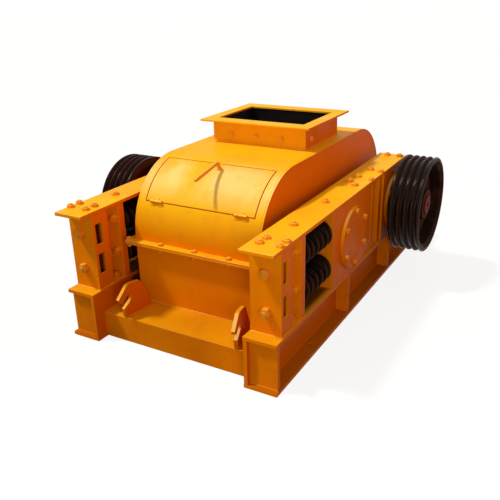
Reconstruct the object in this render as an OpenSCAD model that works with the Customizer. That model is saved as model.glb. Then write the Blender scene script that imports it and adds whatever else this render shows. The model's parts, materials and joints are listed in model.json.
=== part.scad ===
// Double-roll crusher: two smooth rolls in a split housing, carried on a
// base of two H-section beams under two top rails. The front roll slides against
// four coil springs, the rear roll is fixed. +Y runs from the spring end to
// the fixed end, +Z is up, and the origin is on the ground at mid-frame.

/* [Base frame] */
// Length of the two base beams
base_len = 2080; // [2080:10:2500]
// Width across the outer edges of the base beams
base_w = 1140; // [1120:10:1400]
// Width of a base beam's flanges
beam_w = 160; // [140:5:200]
// Height of a base beam
beam_h = 250; // [230:5:320]
// Thickness of a base beam's flanges
flange_t = 17; // [14:1:32]
// Thickness of a base beam's web
web_t = 14; // [10:1:20]
// Thickness of the plates that close the beam's inner side
closing_t = 18; // [10:1:24]
// Inset of the closing plates from the inner edge of the flanges
closing_inset = 2; // [1:1:10]
// Set-back of the end plates from the ends of the flanges
end_setback = 22; // [5:1:30]
// Thickness of an end plate
end_t = 22; // [10:1:26]
// Inset of end plates and stiffeners from the outer edge of the flanges
end_inset = 6; // [2:1:12]
// Radius of an anchor hole in the bottom flange
anchor_r = 13; // [9:0.5:16]
// Distance from an anchor hole to the end of the base
anchor_end = 425; // [380:5:520]
// Distance from an anchor hole to the outer edge of the base
anchor_edge = 45; // [35:1:55]

/* [Cross beams] */
// Height of the ledge that ties the base beams together
ledge_h = 130; // [100:5:160]
// Set-back of the cross beams from the ends of the base
cross_setback = 70; // [50:5:100]
// Plate thickness of the cross beams
cross_t = 12; // [8:1:16]

/* [Top rails] */
// Clear height between base beam and top rail
rail_gap = 383; // [340:1:460]
// Thickness of a top rail
rail_t = 17; // [14:1:32]
// Overhang of the top rails beyond the front ends of the base beams
rail_over = 15; // [0:1:20]

/* [Spring end] */
// Set-back of the post's front plate from the end of the base
post_setback = 61; // [40:1:90]
// Width of the post
post_w = 146; // [130:2:158]
// Depth of the post, front plate to spring seat
post_depth = 184; // [150:2:230]
// Plate thickness of the post's front and sides
post_t = 14; // [8:1:20]
// Depth of the post's box part, behind the front plate
box_depth = 73; // [60:1:90]
// Height of a hand slot in the post's sides
slot_h = 104; // [70:2:120]
// Width of a hand slot
slot_w = 46; // [20:1:50]
// Height of the lower hand slots above the base beam
slot_z1 = 129; // [110:1:140]
// Height of the upper hand slots above the base beam
slot_z2 = 279; // [265:1:300]
// Thickness of the spring seat
seat_t = 40; // [25:1:50]
// Length of a spring at rest
spring_len = 292; // [240:2:360]
// Outer radius of a spring
spring_r = 73; // [60:1:78]
// Wire diameter of a spring
wire_d = 37; // [20:1:40]
// Distance between the coils of a spring
coil_pitch = 50; // [42:1:60]
// Height of the lower spring above the base beam
spring_z1 = 108; // [95:1:115]
// Height of the upper spring above the base beam
spring_z2 = 281; // [275:1:290]
// Width across the flats of an adjusting screw's head
screw_af = 42; // [36:1:50]
// Radius of an adjusting screw
screw_r = 15; // [12:1:18]
// Offset of springs and screws from the middle of the beam, outwards
spring_dx = 6; // [0:1:8]

/* [Rolls and bearings] */
// Diameter of a roll
roll_d = 600; // [500:10:620]
// Length of a roll
roll_len = 600; // [480:10:620]
// Gap between the rolls at rest
roll_gap = 45; // [20:1:60]
// Height of the roll axes above the base beam
axis_h = 185; // [170:1:200]
// Thickness of a roll's tyre
tyre_t = 50; // [30:1:70]
// Radius of the roll shafts
shaft_r = 55; // [40:1:65]
// Length of the sliding housing in front of its shaft
housing_nose = 241; // [200:1:260]
// Length of each housing from its shaft towards the other roll
housing_near = 186; // [165:1:220]
// Length of the fixed housing behind its shaft
housing_tail = 207; // [200:1:240]
// Thickness of a bearing housing
housing_t = 148; // [120:1:150]
// Radius of a bearing cover
cover_r = 157; // [130:1:165]
// Thickness of a bearing cover
cover_t = 18; // [10:1:24]

/* [Pulleys] */
// Outer radius of a belt pulley
pulley_r = 267; // [220:1:300]
// Width of a pulley's rim
pulley_w = 168; // [166:1:190]
// Distance between two belt grooves
groove_pitch = 37; // [34:0.5:38]
// Depth of a belt groove
groove_depth = 26; // [16:1:30]
// Gap between the left pulley and its bearing cover
pulley_gap_left = 78; // [15:1:90]
// Gap between the right pulley and its bearing cover
pulley_gap_right = 38; // [15:1:90]

/* [Housing and hood] */
// Width over the side plates of the housing
hood_w = 696; // [680:2:720]
// Set-back of the front wall from the end of the base
wall_setback = 274; // [240:2:300]
// Distance from the fixed roll to the rear wall
rear_gap = 62; // [40:1:80]
// Plate thickness of the lower housing
wall_t = 12; // [8:1:16]
// Plate thickness of the hood
hood_t = 10; // [6:1:12]
// Height of the joint between housing and hood
split_h = 446; // [440:1:480]
// Height of the hood's flat top
hood_h = 821; // [780:1:900]
// Radius of the hood's rounded front end
hood_r = 342; // [280:2:360]
// Radius of the hood's rounded rear end
hood_rear_r = 364; // [280:2:370]
// Width of the flanges at the joint
strip_w = 40; // [30:1:50]
// Thickness of each flange at the joint
strip_t = 10; // [6:1:14]
// Radius of the shaft openings in the side plates
shaft_hole_r = 105; // [100:1:120]

/* [Feed hopper] */
// Width of the feed opening
feed_w = 500; // [400:5:560]
// Length of the feed opening
feed_l = 365; // [300:5:420]
// Distance from the front wall to the middle of the feed opening
feed_y = 831; // [800:1:860]
// Height of the hopper's flange above the hood
hopper_h = 123; // [90:1:180]
// Width over the hopper's flange
hopper_flange_w = 632; // [600:2:700]
// Length over the hopper's flange
hopper_flange_l = 530; // [500:2:600]
// Plate thickness of the hopper and its flange
hopper_t = 10; // [6:1:12]
// Overhang of the hopper's flange inside its walls
hopper_lip = 13; // [0:1:20]

/* [Inspection door] */
// Width of the door
door_w = 596; // [480:2:620]
// Angle of the door's lower edge above the horizontal
door_a1 = 30; // [24:0.5:36]
// Angle of the door's upper edge above the horizontal
door_a2 = 75; // [65:0.5:80]
// Gap round the door
door_gap = 5; // [5:0.5:7]
// Length of a hinge
hinge_l = 66; // [48:2:90]
// Radius of a hinge's knuckles
knuckle_r = 8; // [7:0.5:12]
// Radius of a hinge pin
hinge_pin_r = 4; // [3:0.5:5]
// Distance between the hinges
hinge_span = 466; // [380:2:480]
// Radius of the bar of the door's handle
handle_r = 7; // [5:0.5:9]
// Height of the handle above the door
handle_h = 38; // [30:1:60]
// Length of the handle's grip
grip_l = 195; // [120:5:220]
// Distance from the door's middle to the handle
handle_x = 20; // [-200:5:200]

/* [Lifting hooks] */
// Thickness of a lifting hook's plate
hook_t = 18; // [12:1:24]
// Distance from the machine's middle to the hooks on the left
hook_left = 285; // [240:5:340]
// Distance from the machine's middle to the hooks on the right
hook_right = 336; // [240:1:340]
// Outward turn of the hooks on the left
splay_left = 6; // [0:1:12]
// Outward turn of the hooks on the right
splay_right = 12; // [0:1:14]
// Height of a hook above the ledge
hook_h = 169; // [150:1:200]
// Width of the slot in a hook
hook_slot = 36; // [26:1:40]

/* [Hidden] */
$fn = 96;
PAINT = "#F0A010";
BLACK = "#1C1A1A";
STEEL = "#8C8A86";
RUST = "#7A3A28";
// Running clearance between a shaft and its bearing or hub
fit = 0.05;
// Clearance between a sliding housing and its guides
slide_gap = 0.5;
y_front = -base_len / 2;
y_rear = base_len / 2;
beam_x0 = base_w / 2 - beam_w;
beam_x1 = base_w / 2;
beam_mid = base_w / 2 - beam_w / 2;
close_x = beam_x0 + closing_inset;
web_x0 = beam_mid - web_t / 2;
rail_z = beam_h + rail_gap;
axis_z = beam_h + axis_h;
post_y = y_front + post_setback;
spring_x = beam_mid + spring_dx;
post_x0 = beam_mid - post_w / 2;
post_x1 = beam_mid + post_w / 2;
seat_y = post_y + post_depth;
spring_y = seat_y + seat_t;
house1_y = spring_y + spring_len;
roll1_y = house1_y + housing_nose;
roll2_y = roll1_y + roll_d + roll_gap;
house2_y = roll2_y - housing_near;
rail_end = roll2_y + housing_tail;
house_x0 = base_w / 2 - 2 - housing_t;
house_x1 = base_w / 2 - 2;
cover_x = house_x1 + cover_t;
wall1_y = y_front + wall_setback;
wall2_y = roll2_y + roll_d / 2 + rear_gap;
hood_x = hood_w / 2;
arc_z = hood_h - hood_r;
arc1_y = wall1_y + hood_r;
arc2_y = wall2_y - hood_rear_r;
feed_mid = wall1_y + feed_y;
hopper_z = hood_h + hopper_h;
// Clear width and length inside the hopper's walls
box_w = feed_w + 2 * hopper_lip;
box_l = feed_l + 2 * hopper_lip;
// The hinge lies on the hood, over the gap below the door
hinge_a = door_a1 - 57.3 * door_gap / 2 / hood_r;
hinge_r = hood_r + knuckle_r + 1;
hinge_y = arc1_y - hinge_r * cos(hinge_a);
hinge_z = arc_z + hinge_r * sin(hinge_a);
handle_a = door_a2 - 7;
// Clear square in the post's web round a lock nut
nut_window = screw_af * 1.3;

// A block between two opposite corners
module slab(low, high) {
    translate(low) cube(high - low);
}

// A rod along X
module rod_x(r, x0, x1, y, z) {
    translate([x0, y, z]) rotate([0, 90, 0]) cylinder(r = r, h = x1 - x0);
}

// A rod along Y
module rod_y(r, y0, y1, x, z) {
    translate([x, y0, z]) rotate([-90, 0, 0]) cylinder(r = r, h = y1 - y0);
}

// An outline in the YZ plane, drawn out along X
module drawn_x(x0, x1) {
    translate([x0, 0, 0])
        rotate([90, 0, 90])
            linear_extrude(x1 - x0) children();
}

// Puts a right-hand piece on the left
module on_left() {
    mirror([1, 0, 0]) children();
}

// A right-hand piece and its mirror image
module on_both_sides() {
    children();
    on_left() children();
}

// H-section with end plates, stiffeners below the shafts, and plates that
// close the inner side where the cross beams meet it
module base_beam() {
    low = flange_t;
    high = beam_h - flange_t;
    difference() {
        union() {
            slab([beam_x0, y_front, 0], [beam_x1, y_rear, low]);
            slab([beam_x0, y_front, high], [beam_x1, y_rear, beam_h]);
            slab([web_x0, y_front + end_setback, low],
                 [web_x0 + web_t, y_rear - end_setback, high]);
            for (y = [y_front + end_setback, y_rear - end_setback - end_t])
                slab([close_x, y, low], [beam_x1 - end_inset, y + end_t, high]);
            for (y = [roll1_y, roll2_y])
                slab([beam_x0 + end_inset, y - web_t / 2, low],
                     [beam_x1 - end_inset, y + web_t / 2, high]);
            slab([close_x, y_front, low], [close_x + closing_t, wall1_y + wall_t, high]);
            slab([close_x, wall2_y - wall_t, low], [close_x + closing_t, y_rear, high]);
        }
        for (y = [y_front + anchor_end, y_rear - anchor_end])
            translate([beam_x1 - anchor_edge, y, -1])
                cylinder(r = anchor_r, h = flange_t + 2);
    }
}

module base_beam_left() {
    color(PAINT) on_left() base_beam();
}

module base_beam_right() {
    color(PAINT) base_beam();
}

// A ledge plate with a skirt in front and a second one under the wall
module cross_beam(y0, y1, skirt_y) {
    slab([-close_x, y0, ledge_h - cross_t], [close_x, y1, ledge_h]);
    for (y = skirt_y) {
        slab([-beam_x0, y, 0], [beam_x0, y + cross_t, flange_t]);
        slab([-close_x, y, flange_t], [close_x, y + cross_t, ledge_h - cross_t]);
    }
}

module front_cross_beam() {
    color(PAINT)
        cross_beam(y_front + cross_setback, wall1_y + wall_t,
                   [y_front + cross_setback, wall1_y + wall_t - cross_t]);
}

module rear_cross_beam() {
    color(PAINT)
        cross_beam(wall2_y - wall_t, y_rear - cross_setback,
                   [wall2_y - wall_t, y_rear - cross_setback - cross_t]);
}

// A box with hand slots in front, and a web that carries the spring seat
module front_post() {
    box_y = post_y + post_t + box_depth;
    difference() {
        union() {
            slab([post_x0, post_y, beam_h], [post_x1, box_y + post_t, rail_z]);
            slab([spring_x - post_t / 2, box_y, beam_h],
                 [spring_x + post_t / 2, seat_y, rail_z]);
        }
        slab([post_x0 + post_t, post_y + post_t, beam_h - 1],
             [post_x1 - post_t, box_y, rail_z + 1]);
        for (z = [slot_z1, slot_z2])
            slab([post_x0 - 1, post_y + post_t + 3, beam_h + z - slot_h / 2],
                 [post_x1 + 1, post_y + post_t + 3 + slot_w, beam_h + z + slot_h / 2]);
        for (z = [spring_z1, spring_z2]) {
            rod_y(screw_r + 1, post_y - 1, seat_y + 1, spring_x, beam_h + z);
            slab([spring_x - post_t, seat_y - nut_window, beam_h + z - nut_window / 2],
                 [spring_x + post_t, seat_y + 1, beam_h + z + nut_window / 2]);
        }
    }
}

module front_post_left() {
    color(PAINT) on_left() front_post();
}

module front_post_right() {
    color(PAINT) front_post();
}

module spring_seat() {
    slab([post_x0, seat_y, beam_h], [post_x1, seat_y + seat_t, rail_z]);
}

module spring_seats() {
    color(PAINT) on_both_sides() spring_seat();
}

// Hexagon head, shank up to the spring seat, and a lock nut at the seat
module adjusting_screw(z) {
    head_r = screw_af / sqrt(3);
    head_l = 26;
    tip_l = 8;
    nut_l = 30;
    translate([spring_x, post_y - head_l, z])
        rotate([-90, 0, 0]) cylinder(r = head_r, h = head_l, $fn = 6);
    rod_y(screw_r * 0.8, post_y - head_l - tip_l, post_y - head_l, spring_x, z);
    rod_y(screw_r, post_y - 1, seat_y, spring_x, z);
    translate([spring_x, seat_y - nut_l, z])
        rotate([-90, 0, 0]) cylinder(r = head_r, h = nut_l, $fn = 6);
}

module adjusting_screws_right() {
    color(PAINT)
        for (z = [spring_z1, spring_z2])
            adjusting_screw(beam_h + z);
}

module adjusting_screws_left() {
    color(PAINT)
        on_left()
            for (z = [spring_z1, spring_z2])
                adjusting_screw(beam_h + z);
}

// Coils along Y on a guide sleeve
module spring(z) {
    end_gap = 0.3;
    turns = floor((spring_len - wire_d) / coil_pitch);
    first = (spring_len - turns * coil_pitch) / 2;
    mean_r = spring_r - wire_d / 2;
    translate([spring_x, spring_y, z])
        rotate([-90, 0, 0])
            union() {
                difference() {
                    cylinder(r = mean_r - wire_d / 4, h = spring_len - end_gap);
                    translate([0, 0, -1]) cylinder(r = screw_r * 2, h = spring_len + 2);
                }
                for (k = [0 : turns])
                    translate([0, 0, first + k * coil_pitch])
                        rotate_extrude()
                            translate([mean_r, 0]) circle(r = wire_d / 2);
            }
}

module springs_right() {
    color(BLACK)
        for (z = [spring_z1, spring_z2])
            spring(beam_h + z);
}

module springs_left() {
    color(BLACK)
        on_left()
            for (z = [spring_z1, spring_z2])
                spring(beam_h + z);
}

module top_rail() {
    slab([beam_x0, y_front - rail_over, rail_z], [beam_x1, rail_end, rail_z + rail_t]);
}

module top_rail_left() {
    color(PAINT) on_left() top_rail();
}

module top_rail_right() {
    color(PAINT) top_rail();
}

// An upright plate with a gusset, welded to the base behind the fixed housing
module rear_stop() {
    stop_t = 25;
    gusset_l = 110;
    slab([house_x0, rail_end, beam_h],
         [house_x1, rail_end + stop_t, beam_h + axis_h + post_t]);
    drawn_x(beam_mid - post_t / 2, beam_mid + post_t / 2)
        polygon([
            [rail_end + stop_t, beam_h],
            [rail_end + stop_t + gusset_l, beam_h],
            [rail_end + stop_t + gusset_l, beam_h + post_t],
            [rail_end + stop_t, beam_h + axis_h]
        ]);
}

module rear_stops() {
    color(PAINT) on_both_sides() rear_stop();
}

// Shims, a wide block, a bar and a plate on a web, which keep the housings
// apart
module spacer() {
    y0 = house1_y + housing_nose + housing_near + slide_gap;
    y1 = house2_y;
    shim_l = 15;
    block_l = 91;
    groove_l = 12;
    bar_l = 45;
    plate_l = 40;
    inset = 10;
    block_y = y0 + shim_l;
    bar_y = block_y + block_l + groove_l;
    x1 = house_x1 - inset;
    slab([beam_mid - post_t, y0, beam_h], [beam_mid + post_t, y1, rail_z]);
    slab([house_x0, y0, beam_h], [x1 - 20, bar_y, rail_z]);
    slab([house_x0, block_y, beam_h], [x1, block_y + block_l, rail_z]);
    slab([house_x0, bar_y, beam_h], [x1, bar_y + bar_l, rail_z]);
    slab([house_x0, y1 - plate_l, beam_h], [x1, y1, rail_z]);
}

module spacers() {
    color(PAINT) on_both_sides() spacer();
}

// A bearing housing with a bore for its shaft, blind where closed is true
module bearing_housing(y0, y1, axis_y, gap, closed) {
    blind = closed ? cover_t : 0;
    difference() {
        slab([house_x0, y0, beam_h + gap], [house_x1, y1, rail_z - gap]);
        rod_x(shaft_r + fit, house_x0 - 1, house_x1 - blind + 1, axis_y, axis_z);
    }
}

module sliding_housing_left() {
    color(PAINT)
        on_left()
            bearing_housing(house1_y, roll1_y + housing_near, roll1_y, slide_gap, false);
}

module sliding_housing_right() {
    color(PAINT)
        bearing_housing(house1_y, roll1_y + housing_near, roll1_y, slide_gap, true);
}

module fixed_housing_left() {
    color(PAINT)
        on_left() bearing_housing(house2_y, rail_end, roll2_y, 0, true);
}

module fixed_housing_right() {
    color(PAINT) bearing_housing(house2_y, rail_end, roll2_y, 0, false);
}

// A round cover, with a hole where the shaft comes through
module bearing_cover(axis_y, closed) {
    shaft_gap = 5;
    difference() {
        rod_x(cover_r, house_x1, cover_x, axis_y, axis_z);
        if (!closed)
            rod_x(shaft_r + shaft_gap, house_x1 - 1, cover_x + 1, axis_y, axis_z);
    }
}

module sliding_covers() {
    color(PAINT) {
        bearing_cover(roll1_y, true);
        on_left() bearing_cover(roll1_y, false);
    }
}

module fixed_covers() {
    color(PAINT) {
        bearing_cover(roll2_y, false);
        on_left() bearing_cover(roll2_y, true);
    }
}

// A tyre on a centre disc and a hub
module roll(y) {
    hub_r = shaft_r * 1.7;
    disc_t = 90;
    side = roll_len / 2;
    difference() {
        rod_x(roll_d / 2, -side, side, y, axis_z);
        for (x = [-side - 1, disc_t / 2])
            difference() {
                rod_x(roll_d / 2 - tyre_t, x, x + side - disc_t / 2 + 1, y, axis_z);
                rod_x(hub_r, x - 1, x + side - disc_t / 2 + 2, y, axis_z);
            }
        rod_x(shaft_r + fit, -side - 2, side + 2, y, axis_z);
    }
}

module front_roll() {
    color(STEEL) roll(roll1_y);
}

module rear_roll() {
    color(STEEL) roll(roll2_y);
}

// A shaft with its free end inside the pulley's hub
module shaft(y, gap) {
    shaft_end = cover_x + gap + pulley_w - 22;
    rod_x(shaft_r, -house_x1 + cover_t + 2, shaft_end, y, axis_z);
}

module front_shaft() {
    color(RUST) on_left() shaft(roll1_y, pulley_gap_left);
}

module rear_shaft() {
    color(RUST) shaft(roll2_y, pulley_gap_right);
}

// A cast pulley with four belt grooves, a web and a hub
module pulley(y, gap) {
    grooves = 4;
    rim_t = 24;
    web_x0 = 70;
    web_x1 = 96;
    hub_r = shaft_r * 1.55;
    top_w = 30;
    foot_w = 16;
    rim_in = pulley_r - groove_depth - rim_t;
    first = (pulley_w - (grooves - 1) * groove_pitch) / 2;
    translate([cover_x + gap, y, axis_z])
        rotate([0, 90, 0])
            rotate_extrude()
                polygon(concat(
                    [
                        [shaft_r + fit, 20],
                        [hub_r, 20],
                        [hub_r, web_x0],
                        [rim_in, web_x0],
                        [rim_in, 0],
                        [pulley_r, 0]
                    ],
                    [for (k = [0 : grooves - 1])
                        each [
                            [pulley_r, first + k * groove_pitch - top_w / 2],
                            [pulley_r - groove_depth, first + k * groove_pitch - foot_w / 2],
                            [pulley_r - groove_depth, first + k * groove_pitch + foot_w / 2],
                            [pulley_r, first + k * groove_pitch + top_w / 2]
                        ]],
                    [
                        [pulley_r, pulley_w],
                        [rim_in, pulley_w],
                        [rim_in, web_x1],
                        [hub_r, web_x1],
                        [hub_r, pulley_w - 30],
                        [shaft_r + fit, pulley_w - 30]
                    ]
                ));
}

module pulley_left() {
    color(BLACK) on_left() pulley(roll1_y, pulley_gap_left);
}

module pulley_right() {
    color(BLACK) pulley(roll2_y, pulley_gap_right);
}

module housing_front_wall() {
    color(PAINT)
        slab([-hood_x, wall1_y, ledge_h], [hood_x, wall1_y + wall_t, split_h]);
}

module housing_rear_wall() {
    color(PAINT)
        slab([-hood_x, wall2_y - wall_t, ledge_h], [hood_x, wall2_y, split_h]);
}

module shaft_openings(x0, x1) {
    for (y = [roll1_y, roll2_y])
        rod_x(shaft_hole_r, x0 - 1, x1 + 1, y, axis_z);
}

module housing_side() {
    x0 = hood_x - wall_t;
    difference() {
        slab([x0, wall1_y + wall_t, flange_t], [hood_x, wall2_y - wall_t, split_h]);
        shaft_openings(x0, hood_x);
    }
}

module housing_side_left() {
    color(PAINT) on_left() housing_side();
}

module housing_side_right() {
    color(PAINT) housing_side();
}

// Flat bars round the joint, left out where the shafts pass
module joint_flange(z) {
    y0 = wall1_y - strip_w;
    y1 = wall2_y + strip_w;
    x1 = hood_x + strip_w;
    ends = [wall1_y, roll1_y - shaft_hole_r, roll1_y + shaft_hole_r,
            roll2_y - shaft_hole_r, roll2_y + shaft_hole_r, wall2_y];
    slab([-x1, y0, z], [x1, wall1_y, z + strip_t]);
    slab([-x1, wall2_y, z], [x1, y1, z + strip_t]);
    for (k = [0, 2, 4])
        for (x = [-x1, hood_x])
            slab([x, ends[k], z], [x + strip_w, ends[k + 1], z + strip_t]);
}

module housing_flange() {
    color(PAINT) joint_flange(split_h - strip_t);
}

module hood_flange() {
    color(PAINT) joint_flange(split_h);
}

// A rounded end of the hood between the side plates, with its straight foot
module hood_end(r, arc_y, wall_y) {
    x1 = hood_x - hood_t;
    centre_z = hood_h - r;
    low_y = min(arc_y, wall_y);
    high_y = max(arc_y, wall_y);
    foot_y = wall_y < arc_y ? wall_y : wall_y - hood_t;
    intersection() {
        difference() {
            rod_x(r, -x1, x1, arc_y, centre_z);
            rod_x(r - hood_t, -x1 - 1, x1 + 1, arc_y, centre_z);
        }
        slab([-x1 - 1, low_y, centre_z], [x1 + 1, high_y, hood_h + 1]);
    }
    slab([-x1, foot_y, split_h], [x1, foot_y + hood_t, centre_z]);
}

// The wedge of the front end that the door and its gap take up
module door_wedge(gap) {
    x1 = door_w / 2 + gap;
    da = 57.3 * gap / hood_r;
    reach = hood_r * 2;
    translate([0, arc1_y, arc_z])
        drawn_x(-x1, x1)
            polygon([
                [0, 0],
                [-reach * cos(door_a1 - da), reach * sin(door_a1 - da)],
                [-reach * cos(door_a2 + da), reach * sin(door_a2 + da)]
            ]);
}

module hood_front() {
    color(PAINT)
        difference() {
            hood_end(hood_r, arc1_y, wall1_y);
            door_wedge(door_gap);
        }
}

module hood_rear() {
    color(PAINT) hood_end(hood_rear_r, arc2_y, wall2_y);
}

module hood_top() {
    x1 = hood_x - hood_t;
    color(PAINT)
        difference() {
            slab([-x1, arc1_y, hood_h - hood_t], [x1, arc2_y, hood_h]);
            slab([-box_w / 2, feed_mid - box_l / 2, hood_h - hood_t - 1],
                 [box_w / 2, feed_mid + box_l / 2, hood_h + 1]);
        }
}

// The rounded corner of a side plate, between the arc's middle and the wall
module side_corner(r, arc_y, wall_y) {
    x0 = hood_x - hood_t;
    intersection() {
        rod_x(r, x0, hood_x, arc_y, hood_h - r);
        slab([x0 - 1, min(arc_y, wall_y), hood_h - r],
             [hood_x + 1, max(arc_y, wall_y), hood_h + 1]);
    }
}

module hood_side() {
    x0 = hood_x - hood_t;
    difference() {
        union() {
            side_corner(hood_r, arc1_y, wall1_y);
            side_corner(hood_rear_r, arc2_y, wall2_y);
            slab([x0, arc1_y, split_h], [hood_x, arc2_y, hood_h]);
            slab([x0, wall1_y, split_h], [hood_x, arc1_y, hood_h - hood_r]);
            slab([x0, arc2_y, split_h], [hood_x, wall2_y, hood_h - hood_rear_r]);
        }
        shaft_openings(x0, hood_x);
    }
}

module hood_side_left() {
    color(PAINT) on_left() hood_side();
}

module hood_side_right() {
    color(PAINT) hood_side();
}

// A rectangular frame between two heights, given by its outer and inner sizes
module feed_frame(outer, inner, z0, z1) {
    difference() {
        slab([-outer.x / 2, feed_mid - outer.y / 2, z0],
             [outer.x / 2, feed_mid + outer.y / 2, z1]);
        slab([-inner.x / 2, feed_mid - inner.y / 2, z0 - 1],
             [inner.x / 2, feed_mid + inner.y / 2, z1 + 1]);
    }
}

module hopper_box() {
    color(PAINT)
        feed_frame([box_w + 2 * hopper_t, box_l + 2 * hopper_t], [box_w, box_l],
                   hood_h, hopper_z - hopper_t);
}

module hopper_flange() {
    color(PAINT)
        feed_frame([hopper_flange_w, hopper_flange_l], [feed_w, feed_l],
                   hopper_z - hopper_t, hopper_z);
}

// The curved door and the middle knuckle of each hinge
module inspection_door() {
    knuckle_l = hinge_l / 3 - 0.5;
    x1 = door_w / 2;
    leaf_l = 18;
    leaf_a = door_a1 + 57.3 * leaf_l / 2 / hood_r;
    color(PAINT)
        difference() {
            union() {
                intersection() {
                    difference() {
                        rod_x(hood_r, -x1, x1, arc1_y, arc_z);
                        rod_x(hood_r - hood_t, -x1 - 1, x1 + 1, arc1_y, arc_z);
                    }
                    door_wedge(0);
                }
                for (x = [-hinge_span / 2, hinge_span / 2]) {
                    rod_x(knuckle_r, x - knuckle_l / 2, x + knuckle_l / 2,
                          hinge_y, hinge_z);
                    translate([x, arc1_y, arc_z])
                        rotate([-leaf_a, 0, 0])
                            slab([-knuckle_l / 2, -hood_r - 3, -leaf_l / 2],
                                 [knuckle_l / 2, -hood_r + 2, leaf_l / 2]);
                }
            }
            for (x = [-hinge_span / 2, hinge_span / 2])
                rod_x(hinge_pin_r + fit, x - knuckle_l, x + knuckle_l, hinge_y, hinge_z);
        }
}

// The outer knuckles and the pins of both hinges
module door_hinges() {
    end_l = hinge_l / 3;
    leaf_t = 3;
    leaf_l = 18;
    leaf_a = hinge_a - 57.3 * (leaf_l / 2 + 1) / hood_r;
    color(PAINT)
        for (x = [-hinge_span / 2, hinge_span / 2])
            union() {
                rod_x(hinge_pin_r, x - end_l, x + end_l, hinge_y, hinge_z);
                for (s = [-end_l, end_l]) {
                    rod_x(knuckle_r, x + s - end_l / 2, x + s + end_l / 2,
                          hinge_y, hinge_z);
                    translate([x + s, arc1_y, arc_z])
                        rotate([-leaf_a, 0, 0])
                            slab([-end_l / 2, -hood_r - leaf_t, -leaf_l / 2],
                                 [end_l / 2, -hood_r, leaf_l / 2]);
                }
            }
}

// A bar with a leg square to the door and a grip that points forwards
module door_handle() {
    grip_a = (90 - handle_a) / 2;
    color(PAINT)
        translate([handle_x, arc1_y, arc_z])
            rotate([90 - handle_a, 0, 0])
                translate([0, 0, hood_r])
                    union() {
                        cylinder(r = handle_r, h = handle_h);
                        translate([0, 0, handle_h]) {
                            sphere(r = handle_r * 1.08);
                            rotate([90 - grip_a, 0, 0])
                                cylinder(r = handle_r, h = grip_l);
                        }
                    }
}

// An upright plate along Y with a slot that opens forwards and down
module lifting_hook(foot) {
    slot_a = 33;
    slot_l = 98;
    difference() {
        drawn_x(-hook_t / 2, hook_t / 2)
            polygon([
                [0, 0],
                [foot, 0],
                [foot - 6, 48],
                [foot - 53, hook_h - 25],
                [foot - 70, hook_h - 8],
                [36, hook_h],
                [18, hook_h - 4],
                [-42, hook_h - 61],
                [-25, hook_h - 83],
                [-12, 50],
                [-7, 10]
            ]);
        translate([0, -50, 26])
            rotate([slot_a, 0, 0]) {
                slab([-hook_t, 0, 0], [hook_t, slot_l, hook_slot]);
                rod_x(hook_slot / 2, -hook_t, hook_t, slot_l, hook_slot / 2);
            }
    }
}

// The two hooks at the front end, on a ledge of the given depth
module hook_pair(ledge) {
    inset = 4;
    foot = ledge * 0.83;
    translate([-hook_left, y_front + cross_setback + inset, ledge_h])
        rotate([0, 0, -splay_left]) lifting_hook(foot);
    translate([hook_right, y_front + cross_setback + inset, ledge_h])
        rotate([0, 0, splay_right]) lifting_hook(foot);
}

module lifting_hooks_front() {
    color(PAINT) hook_pair(wall1_y - y_front - cross_setback);
}

module lifting_hooks_rear() {
    color(PAINT) mirror([0, 1, 0]) hook_pair(y_rear - cross_setback - wall2_y);
}

base_beam_left();
base_beam_right();
front_cross_beam();
rear_cross_beam();
front_post_left();
front_post_right();
spring_seats();
adjusting_screws_left();
adjusting_screws_right();
springs_left();
springs_right();
top_rail_left();
top_rail_right();
rear_stops();
spacers();
sliding_housing_left();
sliding_housing_right();
fixed_housing_left();
fixed_housing_right();
sliding_covers();
fixed_covers();
front_roll();
rear_roll();
front_shaft();
rear_shaft();
pulley_left();
pulley_right();
housing_front_wall();
housing_rear_wall();
housing_side_left();
housing_side_right();
housing_flange();
hood_flange();
hood_front();
hood_top();
hood_rear();
hood_side_left();
hood_side_right();
hopper_box();
hopper_flange();
inspection_door();
door_handle();
door_hinges();
lifting_hooks_front();
lifting_hooks_rear();
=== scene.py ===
"""Looks of a double-roll crusher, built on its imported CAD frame.

All sizes are in metres in the frame of the CAD model: the origin is on the ground at
mid-frame, +X is the right side seen from the spring end, +Y runs from the spring end to
the fixed end, and +Z is up.
"""

import json
import logging
import math
from collections.abc import Sequence
from dataclasses import dataclass
from enum import Enum
from functools import cache

import bmesh
import bpy
from mathutils import Matrix, Vector


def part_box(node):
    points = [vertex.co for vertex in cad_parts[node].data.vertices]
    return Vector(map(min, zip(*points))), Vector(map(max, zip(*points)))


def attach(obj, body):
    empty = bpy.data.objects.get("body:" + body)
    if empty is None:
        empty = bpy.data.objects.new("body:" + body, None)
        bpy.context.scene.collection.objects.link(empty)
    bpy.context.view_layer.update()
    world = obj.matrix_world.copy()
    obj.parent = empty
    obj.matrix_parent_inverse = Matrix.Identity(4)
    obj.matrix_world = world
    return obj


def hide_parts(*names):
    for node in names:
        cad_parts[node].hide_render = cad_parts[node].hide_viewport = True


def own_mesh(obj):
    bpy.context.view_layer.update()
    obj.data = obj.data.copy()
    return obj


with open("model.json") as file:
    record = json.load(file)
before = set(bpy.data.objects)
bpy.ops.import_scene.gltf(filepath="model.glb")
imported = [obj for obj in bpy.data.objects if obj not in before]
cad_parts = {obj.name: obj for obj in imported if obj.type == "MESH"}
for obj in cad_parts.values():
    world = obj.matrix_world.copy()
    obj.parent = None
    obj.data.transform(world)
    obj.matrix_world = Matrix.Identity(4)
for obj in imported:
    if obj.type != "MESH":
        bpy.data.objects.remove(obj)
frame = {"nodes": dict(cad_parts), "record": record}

LOG = logging.getLogger("roll_crusher")
# The least radius in a turned profile, in metres: a bore too thin to see, in place of a pole
NEAR_AXIS = 0.00001
# The clearance between a shaft and a hub, in metres
FIT = 0.00005
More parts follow.
